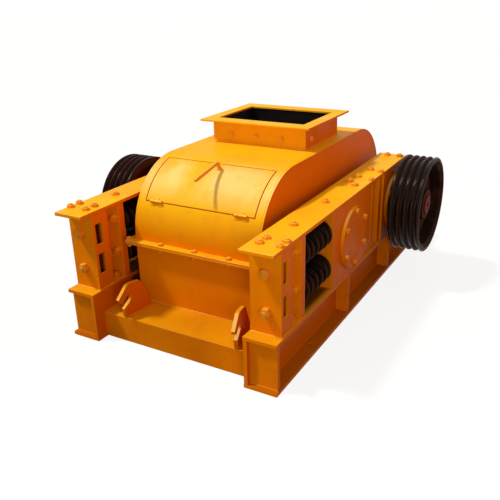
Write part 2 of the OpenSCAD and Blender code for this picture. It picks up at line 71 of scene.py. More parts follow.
# The radius of both shafts, in metres
SHAFT_RADIUS = 0.055
# The angle between two faces, in degrees, above which the edge between them shows as sharp
SHARP_ANGLE = 32.0
# How far a rolled sheet turns from one facet to the next, in degrees
SHEET_FACET = 1.5
# The distance between the ripples of a weld bead, in metres, and its widening and narrowing
RIPPLE = 0.007
RIPPLE_WIDTHS = (1.25, 0.8)
# The turns at each end of a spring that lie nearly flat, and the steps in each turn
FLAT_TURNS = 0.75
TURN_STEPS = 32

Outline = list[tuple[float, float]]


# ---------------------------------------------------------------- small helpers


def mm(value: float) -> float:
    """Returns a length in millimetres as metres."""
    return value / 1000.0


class Side(Enum):
    """The two sides of the machine, seen from the spring end."""

    LEFT = -1
    RIGHT = 1

    @property
    def word(self) -> str:
        """The side as it is written in the names of the nodes."""
        return self.name.lower()

    def at(self, x: float, y: float, z: float) -> Vector:
        """Returns a point given for the right side as it lies on this side."""
        return Vector((self.value * x, y, z))


class Axis(Enum):
    """The axes of the frame, with their unit vectors."""

    X = (1.0, 0.0, 0.0)
    Y = (0.0, 1.0, 0.0)
    Z = (0.0, 0.0, 1.0)

    @property
    def unit(self) -> Vector:
        """The axis as a vector."""
        return Vector(self.value)


@dataclass(frozen=True)
class Box:
    """The box of a CAD node at rest."""

    low: Vector
    high: Vector

    @classmethod
    def of(cls, node: str) -> "Box":
        """Reads the box of a node from the frame."""
        low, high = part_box(node)
        return cls(Vector(low), Vector(high))

    @property
    def middle(self) -> Vector:
        """The centre of the box."""
        return (self.low + self.high) / 2

    @property
    def size(self) -> Vector:
        """The three edges of the box."""
        return self.high - self.low

    def outer_x(self, side: Side) -> float:
        """Returns how far the box reaches from the middle of the machine on one side."""
        return self.high.x if side is Side.RIGHT else -self.low.x


def linear(code: str) -> tuple[float, float, float, float]:
    """Turns a colour from sRGB hex to linear light.

    Args:
        code: The colour as "#RRGGBB".

    Returns:
        Red, green, blue and an alpha of 1.
    """
    parts = (int(code[k:k + 2], 16) / 255.0 for k in (1, 3, 5))
    red, green, blue = (p / 12.92 if p <= 0.04045 else ((p + 0.055) / 1.055) ** 2.4 for p in parts)
    return red, green, blue, 1.0


def rounded(points: Outline, radius: float, steps: int = 4) -> Outline:
    """Rounds every corner of a closed outline.

    Args:
        points: The corners, in order.
        radius: How far from its corner each rounding starts, at most.
        steps: The number of segments in each rounding.

    Returns:
        The outline with its corners drawn as short curves.
    """
    result: Outline = []
    for k, corner in enumerate(points):
        here = Vector(corner)
        before, after = Vector(points[k - 1]) - here, Vector(points[(k + 1) % len(points)]) - here
        start = here + before.normalized() * min(radius, before.length * 0.45)
        end = here + after.normalized() * min(radius, after.length * 0.45)
        for step in range(steps + 1):
            t = step / steps
            spot = start * (1 - t) ** 2 + here * 2 * t * (1 - t) + end * t ** 2
            result.append((spot.x, spot.y))
    return result


def soften(part: bmesh.types.BMesh, width: float, segments: int = 2, angle: float = 30.0) -> None:
    """Bevels the sharp edges of a mesh.

    Args:
        part: The mesh.
        width: The width of the bevel.
        segments: The number of facets across the bevel.
        angle: The angle between two faces, in degrees, above which their edge is sharp.
    """
    limit = math.radians(angle)
    sharp = [e for e in part.edges if len(e.link_faces) == 2 and e.calc_face_angle() > limit]
    if width > 0 and sharp:
        bmesh.ops.bevel(part, geom=sharp, offset=width, offset_type="OFFSET", segments=segments,
                        profile=0.5, affect="EDGES", material=-1, clamp_overlap=True)


# ---------------------------------------------------------------- finishes


def node(tree: bpy.types.NodeTree, kind: str, links: dict[int | str, object] | None = None,
         **settings: object) -> bpy.types.NodeOutputs:
    """Adds one node to a tree, with its settings and links.

    Args:
        tree: The node tree.
        kind: The type of the node, without the "ShaderNode" that it starts with.
        links: For each input, by name or number, the socket it is linked to or its value.
        **settings: Properties of the node.

    Returns:
        The outputs of the new node.
    """
    made = tree.nodes.new("ShaderNode" + kind)
    for key, value in settings.items():
        setattr(made, key, value)
    for key, value in (links or {}).items():
        if isinstance(value, bpy.types.NodeSocket):
            tree.links.new(value, made.inputs[key])
        else:
            made.inputs[key].default_value = value
    return made.outputs


def grain(tree: bpy.types.NodeTree, size: float, detail: float = 3.0,
          stretch: Sequence[float] = (1, 1, 1)) -> bpy.types.NodeSocket:
    """Spreads noise over a piece by its object coordinates.

    Args:
        tree: The node tree.
        size: The size of the largest blotches, in metres.
        detail: The number of finer octaves.
        stretch: How much longer the blotches are along each axis.

    Returns:
        The socket with the noise's value, about 0.5 in the middle.
    """
    place = node(tree, "TexCoord")["Object"]
    spread = node(tree, "Mapping", {"Vector": place, "Scale": [1 / s for s in stretch]})
    links = {"Vector": spread[0], "Scale": 1 / size, "Detail": detail, "Roughness": 0.55}
    return node(tree, "TexNoise", links)[0]


@dataclass(frozen=True)
class Finish:
    """What every finish has: its name, its slot in the record and its smooth-surface values."""

    name: str
    slot: str
    colour: str
    roughness: float = 0.35
    specular: float = 0.5
    tint: str = "#FFFFFF"
    metallic: float = 0.0

    @cache
    def material(self) -> bpy.types.Material:
        """Builds the material the first time that it is asked for, and keeps it.

        Returns:
            The material.
        """
        made = bpy.data.materials.new(self.name)
        made.use_nodes = True
        shader = made.node_tree.nodes["Principled BSDF"]
        shader.inputs["Metallic"].default_value = self.metallic
        shader.inputs["Roughness"].default_value = self.roughness
        shader.inputs["Specular IOR Level"].default_value = self.specular
        shader.inputs["Specular Tint"].default_value = linear(self.tint)
        self.dress(made.node_tree, shader)
        return made

    def dress(self, tree: bpy.types.NodeTree, shader: bpy.types.Node) -> None:
        """Links the pattern of this finish to its shader.

        Args:
            tree: The material's node tree.
            shader: Its Principled BSDF.
        """
        raise NotImplementedError


@dataclass(frozen=True)
class MachineEnamel(Finish):
    """Alkyd machine enamel, sprayed on primed steel plate: glossy, with a fine orange peel.

    Its colour holds painted light and shade: faces that lie flat and the upper parts are
    painted a lighter yellow, as if lit from above; faces turned left or right are painted
    deep orange as painted shade; and pale clouds of painted highlight lie where the hood
    rounds over to the front. The deep orange also lies in random patches. The lower plates
    are painted darker with grime patches and with painted shade on the sides and on the
    lowest upward flanges; painted shadow lies on the beams below the springs, and a little
    dust dulls it all over.
    """

    # Painted light: the lighter yellow on faces that lie flat and on the upper parts, as if lit from
    # above.
    level: str = "#FFC018"
    # Painted highlight: pale yellow clouds where the hood rounds over to the front.
    painted_highlight: str = "#FFE68C"
    # Deep orange: painted shade on faces turned left or right, and also the paint's own tone in random
    # patches.
    deep_tone_and_side_shade: str = "#EC6C00"
    # Darker colour of the lower plates: grime patches, and painted shade on the sides and on the lowest
    # upward flanges.
    dirt: str = "#6E2600"
    # Painted shadow on the beams just below the springs.
    painted_spring_shadow: str = "#4A1806"
    speck: str = "#8C5A2A"
    peel: float = mm(5)
    dust: float = 0.12

    def dress(self, tree: bpy.types.NodeTree, shader: bpy.types.Node) -> None:
        """Links the enamel's colour, its gloss and its orange peel.

        Args:
            tree: The material's node tree.
            shader: Its Principled BSDF.
        """
        place = node(tree, "TexCoord")
        facing = node(tree, "SeparateXYZ", {0: place["Normal"]})
        height = node(tree, "SeparateXYZ", {0: place["Object"]})[2]
        sideways = node(tree, "Math", {0: facing[0]}, operation="ABSOLUTE")[0]
        coat = self.painted_light_coat(tree, facing, height, sideways)
        grime_and_painted_shade = self.grime_and_painted_shade(tree, facing[2], height, sideways)
        spring_shadow_share = self.spring_shadow_share(tree, facing[2])
        specks = grain(tree, mm(60), 8.0)
        dusty = node(tree, "MapRange", {0: specks, 1: 0.52, 2: 0.75, 4: self.dust})[0]
        # Mixes in the grime and painted shade below, the painted shadow under the springs, and dust
        # specks.
        for share, over in ((grime_and_painted_shade, self.dirt), (spring_shadow_share, self.painted_spring_shadow), (dusty, self.speck)):
            coat = node(tree, "Mix", {0: share, 6: coat, 7: linear(over)}, data_type="RGBA")[2]
        tree.links.new(coat, shader.inputs["Base Color"])
        dull = node(tree, "MapRange", {0: grain(tree, mm(150), 6.0), 1: 0.3, 2: 0.7,
                                       3: self.roughness * 0.8, 4: self.roughness * 1.3})
        tree.links.new(dull[0], shader.inputs["Roughness"])
        ripple = node(tree, "Bump", {"Strength": 0.12, "Distance": mm(0.6),
                                     "Height": grain(tree, self.peel, 2.0)})
        wave = node(tree, "Bump", {"Strength": 0.25, "Distance": mm(3),
                                   "Height": grain(tree, mm(160), 1.0), "Normal": ripple[0]})
        tree.links.new(wave[0], shader.inputs["Normal"])

    def painted_light_coat(self, tree: bpy.types.NodeTree, facing: bpy.types.NodeOutputs,
              height: bpy.types.NodeSocket, sideways: bpy.types.NodeSocket) -> bpy.types.NodeSocket:
        """Paints light and shade into the enamel by how each face lies, with a painted highlight.

        Args:
            tree: The material's node tree.
            facing: The three parts of the surface's normal.
            height: The height above the ground.
            sideways: How squarely the surface faces left or right.

        Returns:
            The enamel's colour, with its painted light, shade and highlight.
        """
        # Painted light: faces that lie flat, and the upper parts, get the lighter yellow as if lit from
        # above.
        upward = node(tree, "MapRange", {0: facing[2], 1: 0.0, 2: 0.5})[0]
        clear = node(tree, "MapRange", {0: height, 1: 0.02, 2: 0.11, 3: 0.2})[0]
        bright = node(tree, "MapRange", {0: height, 1: 0.1, 2: 0.6, 3: 0.5})[0]
        low = node(tree, "Math", {0: upward, 1: clear}, operation="MULTIPLY")[0]
        flat = node(tree, "Math", {0: low, 1: bright}, operation="MULTIPLY")[0]
        top = node(tree, "MapRange", {0: height, 1: 0.5, 2: 0.95, 4: 0.8})[0]
        painted_top_light = node(tree, "Math", {0: flat, 1: top}, operation="MAXIMUM")[0]
        # Painted shade: faces turned left or right get the deep orange.
        side = node(tree, "MapRange", {0: sideways, 1: 0.3, 2: 0.9})[0]
        # Painted highlight: pale clouds on faces that look forward and up, where the hood rounds over.
        forward = node(tree, "MapRange", {0: facing[1], 1: -0.15, 2: -0.42})[0]
        rounding = node(tree, "MapRange", {0: facing[2], 1: 0.5, 2: 0.78})[0]
        shoulder = node(tree, "Math", {0: forward, 1: rounding}, operation="MULTIPLY")[0]
        clouds = node(tree, "MapRange", {0: grain(tree, mm(300), 5.0, (1, 1.6, 2.4)), 1: 0.4, 2: 0.56,
                                         3: 0.05, 4: 0.8})[0]
        highlight_share = node(tree, "Math", {0: shoulder, 1: clouds}, operation="MULTIPLY")[0]
        # Random patches of the deep orange: the paint's own tone.
        thin = node(tree, "MapRange", {0: grain(tree, mm(420), 4.0, (1, 1, 2.5)), 1: 0.42, 2: 0.72,
                                       4: 0.25})[0]
        coat = linear(self.colour)
        # Mixes in the painted light on top, the painted shade on the sides, the painted highlight and
        # random deep patches.
        for share, over in ((painted_top_light, self.level), (side, self.deep_tone_and_side_shade), (highlight_share, self.painted_highlight),
                            (thin, self.deep_tone_and_side_shade)):
            coat = node(tree, "Mix", {0: share, 6: coat, 7: linear(over)}, data_type="RGBA")[2]
        return coat

    def grime_and_painted_shade(self, tree: bpy.types.NodeTree, upward: bpy.types.NodeSocket,
               height: bpy.types.NodeSocket, sideways: bpy.types.NodeSocket) -> bpy.types.NodeSocket:
        """Works out how much darker the lower plates are painted, with grime and painted shade.

        Args:
            tree: The material's node tree.
            upward: The upward part of the surface's normal.
            height: The height above the ground.
            sideways: How squarely the surface faces left or right.

        Returns:
            The share of the dark colour: grime patches and painted shade on the sides, lower down, or
                painted shade on the lowest upward faces.
        """
        patches = node(tree, "MapRange", {0: grain(tree, mm(260), 6.0), 1: 0.3, 2: 0.7,
                                          3: 0.15, 4: 0.4})[0]
        # Painted shade on faces turned left or right.
        painted_side_shade = node(tree, "MapRange", {0: sideways, 1: 0.5, 2: 0.9, 4: 0.42})[0]
        most = node(tree, "Math", {0: patches, 1: painted_side_shade}, operation="MAXIMUM")[0]
        # Darker towards the bottom.
        lower = node(tree, "MapRange", {0: height, 1: 0.6, 2: 0.1})[0]
        # Painted shade on the lowest faces that look up.
        lowest = node(tree, "MapRange", {0: height, 1: 0.16, 2: 0.05})[0]
        level = node(tree, "MapRange", {0: upward, 1: 0.5, 2: 0.9, 4: 0.6})[0]
        lower_grime_and_shade = node(tree, "Math", {0: lower, 1: most}, operation="MULTIPLY")[0]
        painted_low_shade = node(tree, "Math", {0: lowest, 1: level}, operation="MULTIPLY")[0]
        return node(tree, "Math", {0: lower_grime_and_shade, 1: painted_low_shade}, operation="MAXIMUM")[0]

    def spring_shadow_share(self, tree: bpy.types.NodeTree, upward: bpy.types.NodeSocket) -> bpy.types.NodeSocket:
        """Works out how much painted shadow lies on what faces up just below the springs.

        Args:
            tree: The material's node tree.
            upward: The upward part of the surface's normal.

        Returns:
            The share of painted shadow.
        """
        # Painted shadow: a dark patch on upward faces of the beams right under the springs.
        springs = Box.of("springs_right")
        place = node(tree, "SeparateXYZ", {0: node(tree, "TexCoord")["Object"]})
        across = node(tree, "Math", {0: place[0]}, operation="ABSOLUTE")[0]
        share = node(tree, "MapRange", {0: upward, 1: 0.5, 2: 0.9, 4: 0.9})[0]
        for value, start, end in ((across, springs.middle.x + mm(66), springs.middle.x + mm(40)),
                                  (place[1], springs.low.y - mm(30), springs.low.y + mm(20)),
                                  (place[1], springs.high.y + mm(30), springs.high.y - mm(20)),
                                  (place[2], springs.low.z, springs.low.z - mm(25)),
                                  (place[2], springs.low.z - mm(90), springs.low.z - mm(60))):
            within = node(tree, "MapRange", {0: value, 1: start, 2: end})[0]
            share = node(tree, "Math", {0: share, 1: within}, operation="MULTIPLY")[0]
        return share


@dataclass(frozen=True)
class BlackEnamel(Finish):
    """Black enamel on a casting or on spring wire, with fine dust lying in it.

    What faces left or right, such as the sides of a pulley, which no belt rubs, is dulled
    by a brown film of rust and grease.
    """

    grit: float = mm(2)
    dust: float = 0.25
    film: str = "#4A2616"

    def dress(self, tree: bpy.types.NodeTree, shader: bpy.types.Node) -> None:
        """Links the dust, the film and the skin of the casting.

        Args:
            tree: The material's node tree.
            shader: Its Principled BSDF.
        """
        facing = node(tree, "SeparateXYZ", {0: node(tree, "TexCoord")["Normal"]})[0]
        across = node(tree, "Math", {0: facing}, operation="ABSOLUTE")[0]
        side = node(tree, "MapRange", {0: across, 1: 0.75, 2: 0.95})[0]
        dusty = node(tree, "MapRange", {0: grain(tree, mm(90), 7.0), 1: 0.45, 2: 0.8, 4: self.dust})[0]
        filmed = node(tree, "MapRange", {0: side, 1: 0.0, 2: 1.0, 4: 0.8})[0]
        most = node(tree, "Math", {0: dusty, 1: filmed}, operation="MAXIMUM")[0]
        coat = node(tree, "Mix", {0: most, 6: linear(self.colour), 7: linear(self.film)},
                    data_type="RGBA")[2]
        tree.links.new(coat, shader.inputs["Base Color"])
        worn = node(tree, "MapRange", {0: grain(tree, mm(70), 5.0), 1: 0.3, 2: 0.7,
                                       3: self.roughness * 0.75, 4: self.roughness * 1.4})[0]
        matt = node(tree, "MapRange", {0: side, 1: 0.0, 2: 1.0, 4: 0.7})[0]
        dull = node(tree, "Math", {0: worn, 1: matt}, operation="MAXIMUM")[0]
        tree.links.new(dull, shader.inputs["Roughness"])
        skin = node(tree, "Bump", {"Strength": 0.2, "Distance": mm(0.4),
                                   "Height": grain(tree, self.grit)})
        tree.links.new(skin[0], shader.inputs["Normal"])


@dataclass(frozen=True)
class TurnedSteel(Finish):
    """Bare steel turned about an axis along X: fine rings left by the tool, and thin rust."""

    groove: str = "#4E4A46"
    rust: str = "#5A2E1A"
    ring: float = mm(3)
    rusted: float = 0.5

    def dress(self, tree: bpy.types.NodeTree, shader: bpy.types.Node) -> None:
        """Links the rings, drawn coarser than real ones so that they show, and the rust.

        Args:
            tree: The material's node tree.
            shader: Its Principled BSDF.
        """
        rings = grain(tree, self.ring, 2.0, (1, 30, 30))
        depth = node(tree, "MapRange", {0: rings, 1: 0.35, 2: 0.65})[0]
        bare = node(tree, "Mix", {0: depth, 6: linear(self.colour), 7: linear(self.groove)},
                    data_type="RGBA")[2]
        rusty = node(tree, "MapRange", {0: grain(tree, mm(70), 8.0), 1: 0.5, 2: 0.75, 4: self.rusted})[0]
        coat = node(tree, "Mix", {0: rusty, 6: bare, 7: linear(self.rust)}, data_type="RGBA")[2]
        tree.links.new(coat, shader.inputs["Base Color"])
        dull = node(tree, "MapRange", {0: rusty, 1: 0.0, 2: 0.5, 3: self.roughness, 4: 0.75})[0]
        tree.links.new(dull, shader.inputs["Roughness"])
        marks = node(tree, "Bump", {"Strength": 0.3, "Distance": mm(0.3), "Height": rings})
        tree.links.new(marks[0], shader.inputs["Normal"])


@dataclass(frozen=True)
class RedPrimer(Finish):
    """Red-brown anti-rust primer brushed on machined steel: flat, and patchy at its brush marks."""

    thin: str = "#4A1A10"

    def dress(self, tree: bpy.types.NodeTree, shader: bpy.types.Node) -> None:
        """Links the brush marks and the patches.

        Args:
            tree: The material's node tree.
            shader: Its Principled BSDF.
        """
        patch = node(tree, "MapRange", {0: grain(tree, mm(35), 6.0), 1: 0.35, 2: 0.7})[0]
        coat = node(tree, "Mix", {0: patch, 6: linear(self.colour), 7: linear(self.thin)},
                    data_type="RGBA")[2]
        tree.links.new(coat, shader.inputs["Base Color"])
        brush = node(tree, "Bump", {"Strength": 0.35, "Distance": mm(0.5),
                                    "Height": grain(tree, mm(4), 3.0, (1, 6, 1))})
        tree.links.new(brush[0], shader.inputs["Normal"])


@dataclass(frozen=True)
class LinerPlate(Finish):
    """Hot-rolled wear plate inside the hopper: black mill scale, dusty and lightly scored, near black as
    painted shade inside.
    """

    dust: str = "#2C1C12"

    def dress(self, tree: bpy.types.NodeTree, shader: bpy.types.Node) -> None:
        """Links the scale's patches and the scores that run down it.

        Args:
            tree: The material's node tree.
            shader: Its Principled BSDF.
        """
        scale = node(tree, "MapRange", {0: grain(tree, mm(50), 8.0), 1: 0.5, 2: 0.8, 4: 0.5})[0]
        coat = node(tree, "Mix", {0: scale, 6: linear(self.colour), 7: linear(self.dust)},
                    data_type="RGBA")[2]
        tree.links.new(coat, shader.inputs["Base Color"])
        scores = node(tree, "Bump", {"Strength": 0.3, "Distance": mm(0.6),
                                     "Height": grain(tree, mm(6), 4.0, (1, 1, 20))})
        tree.links.new(scores[0], shader.inputs["Normal"])


# Both enamels hold painted light and shade: a lighter yellow painted on flat faces and upper parts, and
# a deep orange painted on the sides as shade.
YELLOW = MachineEnamel("machine_enamel", "yellow_enamel", "#F28C00",
                       roughness=0.42, specular=0.035, tint="#FFF2DC")
BOLTS = MachineEnamel("machine_enamel_on_bolts", "yellow_enamel", "#E8981C",
                      roughness=0.36, specular=0.08, tint="#FFF2E0",
                      level="#F8B830", deep_tone_and_side_shade="#EE8624", peel=mm(2.5), dust=0.2)
BLACK = BlackEnamel("gloss_black_enamel", "black_enamel", "#0A0503",
                    roughness=0.24, specular=0.13, dust=0.1)
DISH = BlackEnamel("dull_black_enamel_in_pulleys", "black_enamel", "#1C0E08",
                   roughness=0.6, specular=0.03, dust=0.8)
SPRINGS = BlackEnamel("gloss_black_enamel_on_springs", "black_enamel", "#080402",
                      roughness=0.36, specular=0.02, dust=0.3)
STEEL = TurnedSteel("turned_roll_steel", "roll_steel", "#8C8782", roughness=0.38, metallic=1.0)
PRIMER = RedPrimer("red_oxide_primer", "red_primer", "#6E2014", roughness=0.6, specular=0.05)
# Wear plates, kept near black so that they also stand in for the shade inside the hopper.
LINER_AND_SHADE = LinerPlate("mill_scale_plate", "black_enamel", "#0A0705", roughness=0.7, specular=0.15)
SLOTS = {"yellow_enamel": YELLOW, "black_enamel": BLACK, "roll_steel": STEEL, "red_primer": PRIMER}


# ---------------------------------------------------------------- shapes


def aimed(place: Vector, way: Vector) -> Matrix:
    """Returns the matrix that moves the origin to a place and turns +Z to point one way."""
    return Matrix.Translation(place) @ way.to_track_quat("Z", "Y").to_matrix().to_4x4()


def linked(name: str, data: bpy.types.ID) -> bpy.types.Object:
    """Adds an object to the scene.

    Args:
        name: Its name.
        data: Its mesh, light or camera.

    Returns:
        The new object.
    """
    made = bpy.data.objects.new(name, data)
    bpy.context.scene.collection.objects.link(made)
    return made


def extended(part: bmesh.types.BMesh, edges: list[bmesh.types.BMEdge],
             ) -> tuple[list[bmesh.types.BMVert], list[bmesh.types.BMEdge]]:
    """Extrudes open edges in place.

    Args:
        part: The mesh.
        edges: The edges.

    Returns:
        The new vertices, and the new edges between them.
    """
    made = bmesh.ops.extrude_edge_only(part, edges=edges)["geom"]
    verts = [g for g in made if isinstance(g, bmesh.types.BMVert)]
    sides = [g for g in made if isinstance(g, bmesh.types.BMEdge)]
    return verts, [edge for edge in sides if all(v in verts for v in edge.verts)]


def swept(part: bmesh.types.BMesh, edges: list[bmesh.types.BMEdge], centre: Sequence[float],
          axis: Sequence[float], angle: float, steps: int, rise: float = 0.0,
          ) -> list[bmesh.types.BMEdge]:
    """Spins open edges about an axis, which leaves the surface that they sweep.

    Args:
        part: The mesh.
        edges: The edges.
        centre: A point on the axis.
        axis: The unit vector along the axis.
        angle: How far they turn, in radians.
        steps: The number of steps.
        rise: How far they rise along Z in all.

    Returns:
        The edges at the end of the sweep.
    """
    verts = list(dict.fromkeys(vert for edge in edges for vert in edge.verts))
    spun = bmesh.ops.spin(part, geom=edges + verts, cent=centre, axis=axis, angle=angle, steps=steps,
                          dvec=(0, 0, rise / steps), use_merge=False, use_duplicate=False)
    return [g for g in spun["geom_last"] if isinstance(g, bmesh.types.BMEdge)]


@dataclass(frozen=True)
class Bolt:
    """The sizes of a bolt head or a nut: across its flats, its height, its washer and its stud.

    The washer's and stud's radii, the dome on a head and the chamfer are shares of the flats.
    """

    flats: float
    height: float
    washer: float = 0.0
    stud: float = 0.0
    washer_share: float = 0.64
    stud_share: float = 0.3
    dome_share: float = 0.42
    chamfer_share: float = 0.07


class Shape:
    """A mesh under construction, to which finished bodies are added one by one."""

    def __init__(self) -> None:
        """Starts with an empty mesh."""
        self.mesh = bmesh.new()

    def add(self, part: bmesh.types.BMesh, place: Matrix | None = None) -> None:
        """Joins a body to this shape.

        Args:
            part: The body, which is freed.
            place: Where it goes, or None to leave it in place.
        """
        if place is not None:
            bmesh.ops.transform(part, matrix=place, verts=part.verts)
        loose = bpy.data.meshes.new("loose")
        part.to_mesh(loose)
        part.free()
        self.mesh.from_mesh(loose)
        bpy.data.meshes.remove(loose)

    def carry(self, name: str, bevel: float = mm(2)) -> None:
        """Adds a copy of a CAD node, merged, with its flat faces whole and its edges softened.

        Args:
            name: The name of the node.
            bevel: The width of the bevel on its edges.
        """
        part = bmesh.new()
        part.from_mesh(frame["nodes"][name].data)
        bmesh.ops.remove_doubles(part, verts=part.verts, dist=1e-5)
        bmesh.ops.dissolve_limit(part, angle_limit=math.radians(0.5), use_dissolve_boundaries=False,
                                 verts=part.verts, edges=part.edges)
        soften(part, bevel)
        self.add(part)

    def block(self, one: Sequence[float], other: Sequence[float], bevel: float = mm(1.5)) -> None:
        """Adds a block with softened edges.

        Args:
            one: One of its corners.
            other: The opposite corner.
            bevel: The width of the bevel on its edges.
        """
        part = bmesh.new()
        bmesh.ops.create_cube(part, size=1.0)
        size = Vector([abs(a - b) for a, b in zip(one, other)])
        bmesh.ops.scale(part, vec=size, verts=part.verts)
        soften(part, bevel)
        self.add(part, Matrix.Translation((Vector(one) + Vector(other)) / 2))

    def rod(self, start: Vector, end: Vector, radius: float, bevel: float = mm(1), sides: int = 24,
            turn: float = 0.0) -> None:
        """Adds a round or many-sided rod.

        Args:
            start: The centre of one end.
            end: The centre of the other end.
            radius: Its radius, to the corners where it is many-sided.
            bevel: The bevel round both ends.
            sides: The number of sides.
            turn: A turn about its own line, in degrees.
        """
        line = end - start
        part = bmesh.new()
        bmesh.ops.create_cone(part, cap_ends=True, segments=sides, radius1=radius, radius2=radius,
                              depth=line.length)
        soften(part, bevel, angle=50 if sides > 8 else 70)
        place = aimed((start + end) / 2, line)
        self.add(part, place @ Matrix.Rotation(math.radians(turn), 4, "Z"))

    def lathe(self, profile: Outline, origin: Vector, direction: Vector, steps: int = 96) -> None:
        """Adds a turned body.

        Args:
            profile: Its closed profile, as (radius, height) pairs.
            origin: Where height 0 lies on its axis.
            direction: The way in which the height grows.
            steps: The number of steps round it.
        """
        part = bmesh.new()
        verts = [part.verts.new((radius, 0, height)) for radius, height in profile]
        edges = [part.edges.new(pair) for pair in zip(verts, verts[1:] + verts[:1])]
        bmesh.ops.spin(part, geom=verts + edges, cent=(0, 0, 0), axis=(0, 0, 1), dvec=(0, 0, 0),
                       angle=math.tau, steps=steps, use_merge=True)
        bmesh.ops.remove_doubles(part, verts=part.verts, dist=1e-6)
        bmesh.ops.recalc_face_normals(part, faces=part.faces)
        self.add(part, aimed(origin, direction))

    def bead(self, start: Sequence[float], end: Sequence[float], size: float = mm(5)) -> None:
        """Adds a weld bead, with its ripples, along the corner from start to end.

        Args:
            start: One end of the corner.
            end: The other end.
            size: The radius of the bead.
        """
        line = Vector(end) - Vector(start)
        count = max(2, round(line.length / RIPPLE))
        part = bmesh.new()
        bmesh.ops.create_circle(part, cap_ends=True, segments=8, radius=size * RIPPLE_WIDTHS[1])
        ring = list(part.edges)
        for step in range(count):
            verts, ring = extended(part, ring)
            swell = RIPPLE_WIDTHS[step % 2]
            bmesh.ops.scale(part, vec=(swell, swell, 1), verts=verts)
            bmesh.ops.translate(part, vec=(0, 0, line.length / count), verts=verts)
        bmesh.ops.contextual_create(part, geom=ring)
        self.add(part, aimed(Vector(start), line))

    def bolt(self, seat: Vector, way: Vector, kind: Bolt, turn: float = 0.0) -> None:
        """Adds a hexagon head, or a nut on its stud.

        Args:
            seat: The point on the surface that it is screwed to.
            way: The unit vector from that surface outwards.
            kind: Its sizes.
            turn: The turn of the hexagon, in degrees.
        """
        foot = seat + way * kind.washer
        top = foot + way * kind.height
        if kind.washer:
            self.rod(seat - way * mm(1), foot, kind.flats * kind.washer_share, mm(0.8), 24)
        chamfer = kind.flats * kind.chamfer_share
        self.rod(foot - way * mm(1), top, kind.flats / math.sqrt(3), chamfer, 6, turn)
        end = top + way * max(kind.stud, mm(0.8))
        share = kind.stud_share if kind.stud else kind.dome_share
        self.rod(top - way * mm(1), end, kind.flats * share, mm(0.7), 20)

    def bar(self, points: Sequence[Vector], radius: float, bend: float) -> None:
        """Adds a round bar, bent at its inner points, with domed ends.

        Args:
            points: The ends of the bar and the corners of its centre line.
            radius: The radius of the bar.
            bend: The radius of each bend.
        """
        part = bmesh.new()
        heading = (points[1] - points[0]).normalized()
        place = aimed(points[0], heading)
        bmesh.ops.create_circle(part, cap_ends=True, segments=20, radius=radius, matrix=place)
        ring = list(part.edges)
        here = points[0]
        for corner, onward in zip(points[1:], list(points[2:]) + [None]):
            turn = 0.0 if onward is None else heading.angle(onward - corner)
            reach = bend * math.tan(turn / 2)
            verts, ring = extended(part, ring)
            step = corner - heading * reach - here
            bmesh.ops.translate(part, vec=step, verts=verts)
            here = here + step
            if onward is not None:
                hinge = heading.cross(onward - corner).normalized()
                centre = here + hinge.cross(heading) * bend
                ring = swept(part, ring, centre, hinge, turn, 8)
                heading = (onward - corner).normalized()
                here = corner + heading * reach
        bmesh.ops.contextual_create(part, geom=ring)
        bmesh.ops.recalc_face_normals(part, faces=part.faces)
        soften(part, radius * 0.7, segments=4, angle=60)
        self.add(part)

    def coil(self, start: Vector, way: Vector, radius: float, wire: float, length: float,
             turns: float) -> None:
        """Adds a closed-end coil spring.

        Args:
            start: The centre of the end that the spring is built from.
            way: The unit vector along its axis.
            radius: Its outer radius.
            wire: The diameter of its wire.
            length: Its whole length.
            turns: The number of its turns, with part of one at each end lying nearly flat.
        """
        part = bmesh.new()
        upright = Matrix.Rotation(math.pi / 2, 4, "X")
        across = Matrix.Translation((radius - wire / 2, 0, wire / 2)) @ upright
        bmesh.ops.create_circle(part, cap_ends=True, segments=14, radius=wire / 2, matrix=across)
        ring = list(part.edges)
        active = turns - 2 * FLAT_TURNS
        flat = wire * 0.8
        rise = (length - wire - 2 * FLAT_TURNS * flat) / active
        for share, pitch in ((FLAT_TURNS, flat), (active, rise), (FLAT_TURNS, flat)):
            steps = round(share * TURN_STEPS)
            ring = swept(part, ring, (0, 0, 0), Axis.Z.unit, math.tau * share, steps, pitch * share)
        bmesh.ops.contextual_create(part, geom=ring)
        bmesh.ops.recalc_face_normals(part, faces=part.faces)
        self.add(part, aimed(start, way))

    def piece(self, name: str, body: str, finish: Finish, *nodes: str) -> bpy.types.Object:
        """Turns the shape into a finished piece that rides on a CAD body.

        Args:
            name: The name of the piece.
            body: The body that it rides on.
            finish: Its finish.
            *nodes: The CAD nodes that it replaces.

        Returns:
            The new object.
        """
        bmesh.ops.recalc_face_normals(self.mesh, faces=self.mesh.faces)
        mesh = bpy.data.meshes.new(name)
        self.mesh.to_mesh(mesh)
        self.mesh.free()
        mesh.shade_smooth()
        mesh.set_sharp_from_angle(angle=math.radians(SHARP_ANGLE))
        made = linked(name, mesh)
        mesh.materials.append(finish.material())
        made.modifiers.new("flat faces", "WEIGHTED_NORMAL").keep_sharp = True
        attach(made, body)
        if nodes:
            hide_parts(*nodes)
        LOG.info("%s: %d faces on %s", name, len(mesh.polygons), body)
        return made


def refined(node_name: str, name: str, bevel: float, body: str = "root") -> None:
    """Shows a CAD node as an enamelled piece with softened edges.

    Args:
        node_name: The node, which the piece replaces.
        name: The name of the piece.
        bevel: The width of the bevel on its edges.
        body: The body that it rides on.
    """
    made = Shape()
    made.carry(node_name, bevel)
    made.piece(name, body, YELLOW, node_name)


# ---------------------------------------------------------------- sub-assemblies


